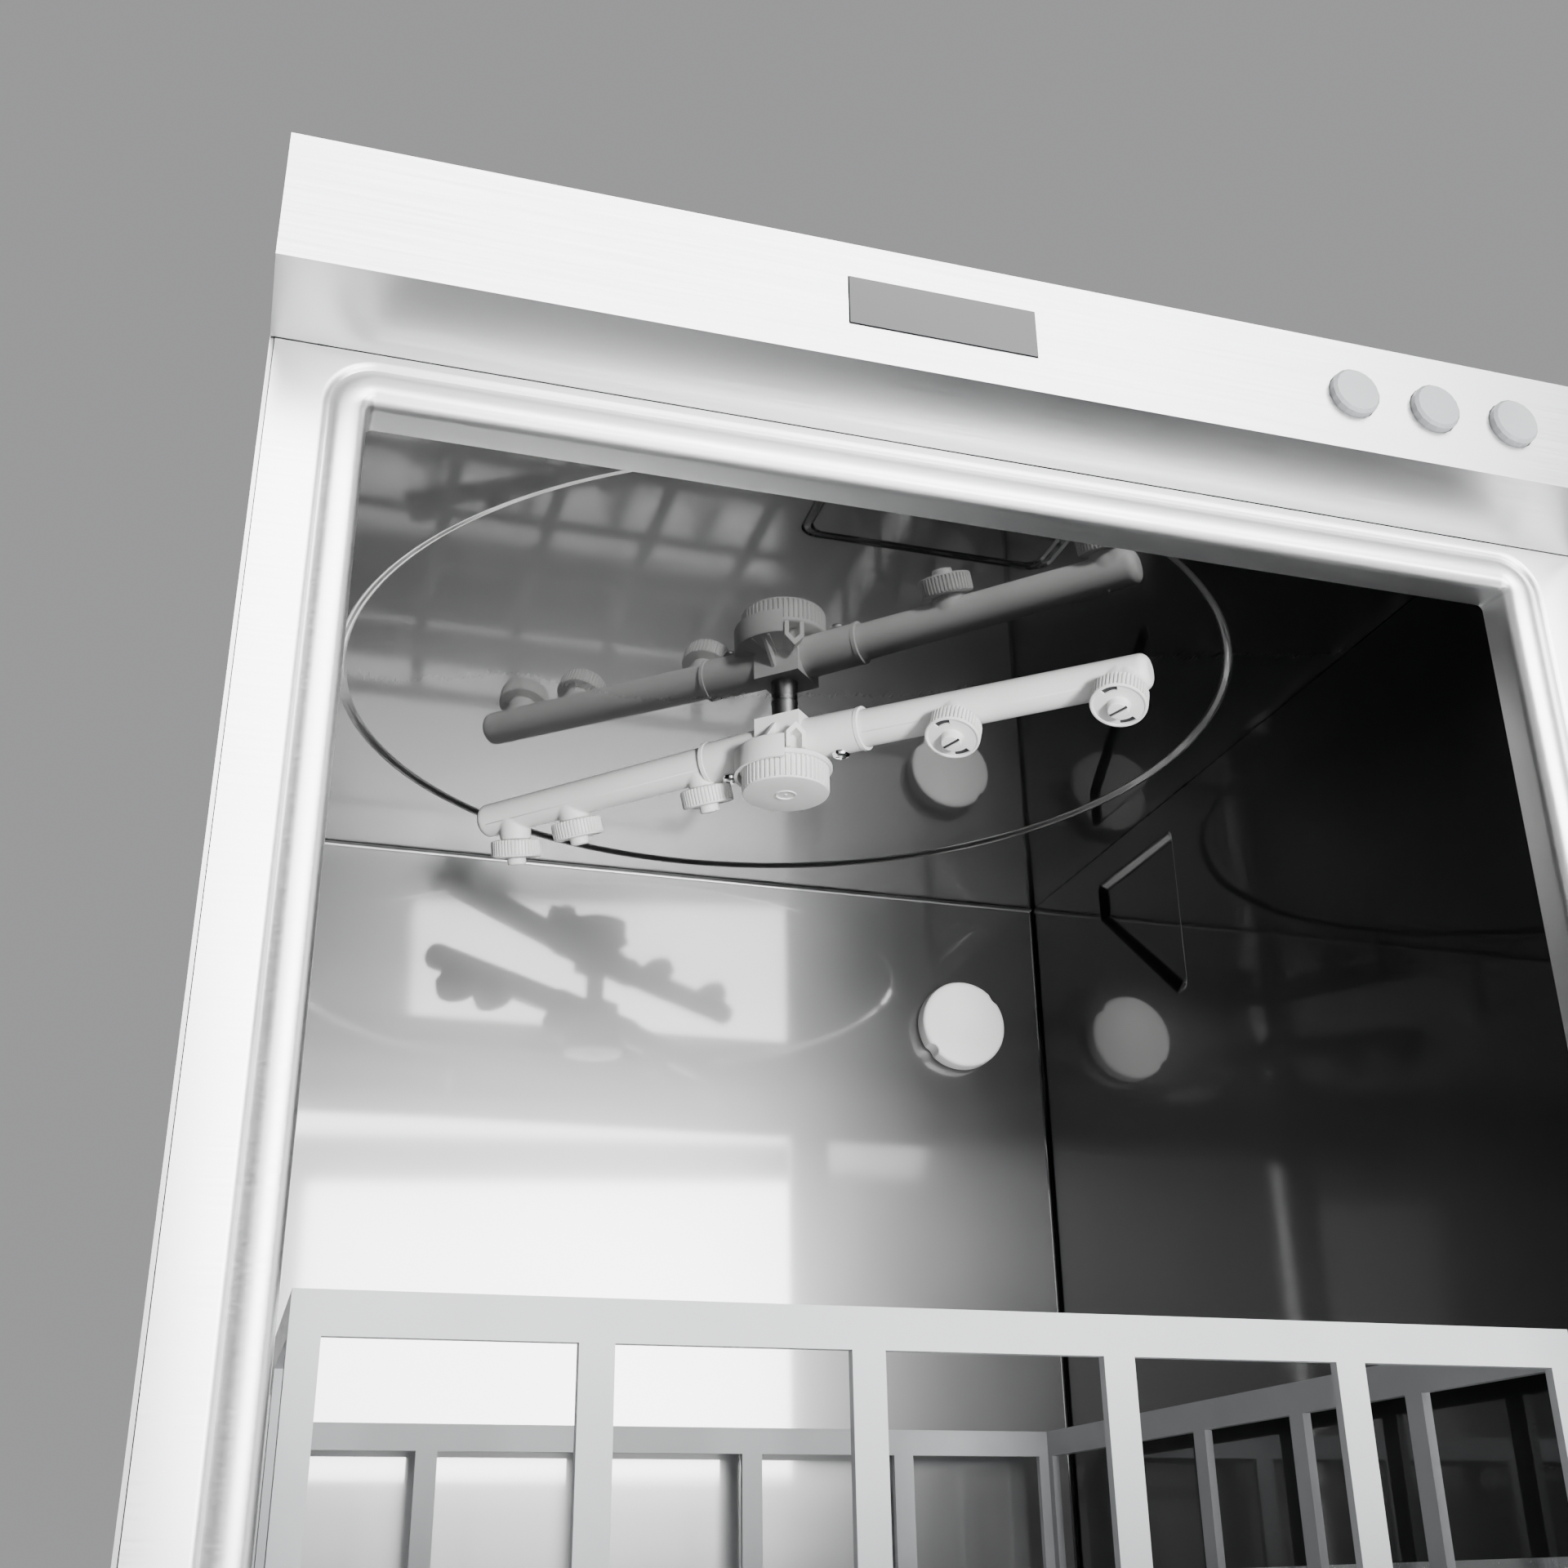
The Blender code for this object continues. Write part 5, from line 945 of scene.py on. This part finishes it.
def make_arm_screws():
    """The cross-head screw under the root of each tube."""
    profile = [
        (0, -8.9 * MM),
        (1.5 * MM, -8.9 * MM),
        (1.5 * MM, -10 * MM),
        (4 * MM, -10 * MM),
        (4 * MM, -10.7 * MM),
        (3.5 * MM, -11.5 * MM),
        (2.4 * MM, -12.1 * MM),
        (0, -12.4 * MM),
    ]
    body = tool(turned_mesh("arm_screw", profile, 48))
    steps = []
    for low, high in (((-2.3, -0.45), (2.3, 0.45)), ((-0.45, -2.3), (0.45, 2.3))):
        bar_low = (low[0] * MM, low[1] * MM, -13 * MM)
        bar_high = (high[0] * MM, high[1] * MM, -11.2 * MM)
        bar = box_mesh("cross", bar_low, bar_high)
        steps.append(("DIFFERENCE", tool(bar)))
    mesh = bake(body, steps)
    for half in ("left", "right"):
        matrix = arm_matrix(half) @ Matrix.Translation((SCREW_STATION, 0, 0)) @ Matrix.Rotation(0.5, 4, "Z")
        replaced = [f"upper_arm_screw_{half}"]
        add_piece(f"arm_screw_{half}", mesh.copy(), "chrome", ARM, replaced, matrix, 28)


def make_spindle():
    """The fixed spindle, with its flange at the top."""
    low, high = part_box("upper_spindle")
    profile = [
        (SPINDLE_BORE, high[2]),
        (SPINDLE_FLANGE, high[2]),
        (SPINDLE_FLANGE, high[2] - SPINDLE_FLANGE_DEPTH),
        (SPINDLE_RADIUS, high[2] - SPINDLE_FLANGE_DEPTH),
        (SPINDLE_RADIUS, low[2] + 0.8 * MM),
        (5.2 * MM, low[2]),
        (SPINDLE_BORE, low[2]),
    ]
    mesh = turned_mesh("spindle", profile, 64, ring=True)
    place = Matrix.Translation((SPINDLE_X, SPINDLE_Y, 0))
    add_piece("spindle_turned", mesh, "spindle_steel", CABINET, ["upper_spindle"], place)


def make_spray_arm():
    """Each nozzle is (station along its tube, tilt, splay, length of its neck)."""
    right_nozzles = [
        (83.8 * MM, NOZZLE_TILT, 0.0, NECK_LENGTH),
        (157 * MM, NOZZLE_TILT, 0.0, NECK_LENGTH),
    ]
    left_nozzles = [
        (44 * MM, NOZZLE_TILT, 0.0, NECK_LENGTH),
        (115 * MM, NOZZLE_TILT, 0.0, NECK_LENGTH),
        (147.5 * MM, TIP_NOZZLE_TILT, TIP_NOZZLE_SPLAY, TIP_NECK_LENGTH),
    ]
    make_arm_tube("spray_tube_right", "upper_arm_tube_right", "right", RIGHT_REACH, right_nozzles)
    make_arm_tube("spray_tube_left", "upper_arm_tube_left", "left", LEFT_REACH, left_nozzles)
    make_nozzle_caps(left_nozzles, right_nozzles)
    make_hub()
    make_hub_nut()
    make_arm_screws()
    make_spindle()


# Front frame and outside


def make_front_frame():
    """The folded front round the door opening, with a rounded bead along the opening's edge.

    It is a single skin, open at the back.
    """
    low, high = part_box("front_frame")
    back = high[1]
    front = back - OPENING_DEPTH
    half = OPENING_HALF
    sill, lintel = SILL_Z, LINTEL_Z
    section = [
        (0, back),
        (0, front + 6 * MM),
        (0.2 * MM, front + 3.8 * MM),
        (1.2 * MM, front + 1.9 * MM),
        (3 * MM, front + 0.6 * MM),
        (5.5 * MM, front + 0.1 * MM),
        (8 * MM, front + 0.1 * MM),
        (9.8 * MM, front + 0.6 * MM),
        (11.1 * MM, front + 1.3 * MM),
        (11.9 * MM, front + 1.4 * MM),
        (12.6 * MM, front + 0.9 * MM),
        (13.4 * MM, front + 0.2 * MM),
        (14.4 * MM, front),
    ]
    bm = bmesh.new()
    loops = []
    for out, y in section:
        corner_low = (-half - out, sill - out)
        corner_high = (half + out, lintel + out)
        outline = rounded_rectangle(corner_low, corner_high, OPENING_CORNER + out, 10)
        loops.append(add_loop(bm, [(x, y, z) for x, z in outline]))
    bridge_all(bm, loops)
    edges = [(low[0], low[2]), (high[0], low[2]), (high[0], high[2]), (low[0], high[2])]
    border = add_loop(bm, [(x, front, z) for x, z in edges])
    side = add_loop(bm, [(x, back, z) for x, z in edges])
    fill_between(bm, [border, loops[-1]], (0, 1, 0))
    bridge(bm, border, side)
    mesh = mesh_from(bm, "front_frame_folded")
    add_piece("front_frame_folded", mesh, "frame_steel", CABINET, ["front_frame"], None, 40)
    make_hinge_ears(low, front)


def make_hinge_ears(frame_low, front):
    """An ear at each side of the front, round-nosed about the hinge's axis and bored for its rod."""
    axis_y, axis_z = HINGE_Y, HINGE_Z
    nose = axis_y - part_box("front_frame")[0][1]
    for side, name in ((-1, "hinge_ear_left"), (1, "hinge_ear_right")):
        outline = []
        for step in range(17):
            angle = TURN * (step / 32 + 0.25)
            outline.append((axis_y + nose * math.cos(angle), axis_z + nose * math.sin(angle)))
        outline += [(front + 1 * MM, axis_z - nose), (front + 1 * MM, axis_z + nose)]
        edge = abs(frame_low[0])
        near, far = edge - EAR_THICKNESS, edge
        bm = bmesh.new()
        layers = []
        chamfer = EAR_CHAMFER
        for x, shrink in ((near, chamfer), (near + chamfer, 0), (far - chamfer, 0), (far, chamfer)):
            points = []
            for y, z in outline:
                scale = 1 - shrink / nose
                points.append((side * x, axis_y + (y - axis_y) * scale, axis_z + (z - axis_z) * scale))
            layers.append(add_loop(bm, points))
        close_loft(bm, layers)
        body = tool(mesh_from(bm, name))
        bore = turned_mesh("ear_bore", [(0, -0.3), (EAR_BORE, -0.3), (EAR_BORE, 0.3), (0, 0.3)], 40)
        place = Matrix.Translation((0, axis_y, axis_z)) @ ALONG
        mesh = bake(body, [("DIFFERENCE", tool(bore, place))])
        add_piece(name, mesh, "steel", CABINET)


# Floor, lights and camera


def make_stage():
    floor = bpy.data.meshes.new("floor")
    reach = 6
    floor.from_pydata(
        [(-reach, -reach, 0), (reach, -reach, 0), (reach, reach, 0), (-reach, reach, 0)], [], [(0, 1, 2, 3)]
    )
    obj = bpy.data.objects.new("studio_floor", floor)
    scene.collection.objects.link(obj)
    _, shader = new_material("studio_floor")
    shader.inputs["Base Color"].default_value = (0.72, 0.72, 0.72, 1)
    shader.inputs["Roughness"].default_value = 0.8
    obj.data.materials.append(materials["studio_floor"])
    world = bpy.data.worlds.new("studio")
    world.use_nodes = True
    background = world.node_tree.nodes["Background"]
    background.inputs["Color"].default_value = (0.9, 0.9, 0.92, 1)
    background.inputs["Strength"].default_value = 0.4
    scene.world = world


def add_area_light(name, position, aim, width, height, power, lights="all"):
    """A soft panel; lights says whether it lights surfaces ("diffuse"), is mirrored ("gloss"), or both."""
    light = bpy.data.lights.new(name, "AREA")
    light.shape = "RECTANGLE"
    light.size = width
    light.size_y = height
    light.energy = power
    obj = bpy.data.objects.new(name, light)
    obj.location = position
    obj.rotation_euler = (Vector(aim) - Vector(position)).to_track_quat("-Z", "Y").to_euler()
    obj.visible_diffuse = lights != "gloss"
    obj.visible_glossy = lights != "diffuse"
    scene.collection.objects.link(obj)


def make_lights():
    middle = (SPINDLE_X, SPINDLE_Y, CEILING_Z - 0.15)
    add_area_light("key", (0.22, -1.35, 0.24), middle, 0.22, 0.22, 52, "diffuse")
    add_area_light("low_left", (-0.9, -1.2, 0.3), middle, 0.5, 0.4, 2.5, "diffuse")
    add_area_light("top", (0.3, -1.0, 2.3), (0, 0, 0.6), 1.6, 1.2, 32)
    add_area_light("side", (2.0, -0.3, 1.0), (0, 0.1, 0.4), 1.0, 1.4, 8)
    add_area_light("mirrored_low", (0.6, -1.25, 0.17), (0.3, 0.2, 0.6), 1.2, 0.22, 16, "gloss")
    add_area_light("mirrored_high", (0.55, -1.9, 0.75), (0.1, 0, 0.6), 1.3, 0.5, 30, "gloss")
    add_area_light("mirrored_front", (0.3, -1.9, 1.8), (0, 0, 0.6), 2.4, 1.5, 110, "gloss")


def make_camera():
    data = bpy.data.cameras.new("camera")
    data.lens = CAMERA_LENS
    data.sensor_width = SENSOR_WIDTH
    camera = bpy.data.objects.new("camera", data)
    turn = Matrix.Rotation(-CAMERA_YAW, 4, "Z")
    tilt = Matrix.Rotation(TURN / 4 + CAMERA_PITCH, 4, "X")
    roll = Matrix.Rotation(CAMERA_ROLL, 4, "Z")
    camera.matrix_world = Matrix.Translation(CAMERA_POSITION) @ turn @ tilt @ roll
    scene.collection.objects.link(camera)
    scene.camera = camera


make_materials()
finish_frame()
make_ceiling()
make_side_wall("left_wall_pressing", "chamber_left_wall", -1)
make_side_wall("right_wall_pressing", "chamber_right_wall", 1)
make_seams()
make_wall_cap()
make_spray_arm()
make_front_frame()
make_stage()
make_lights()
make_camera()
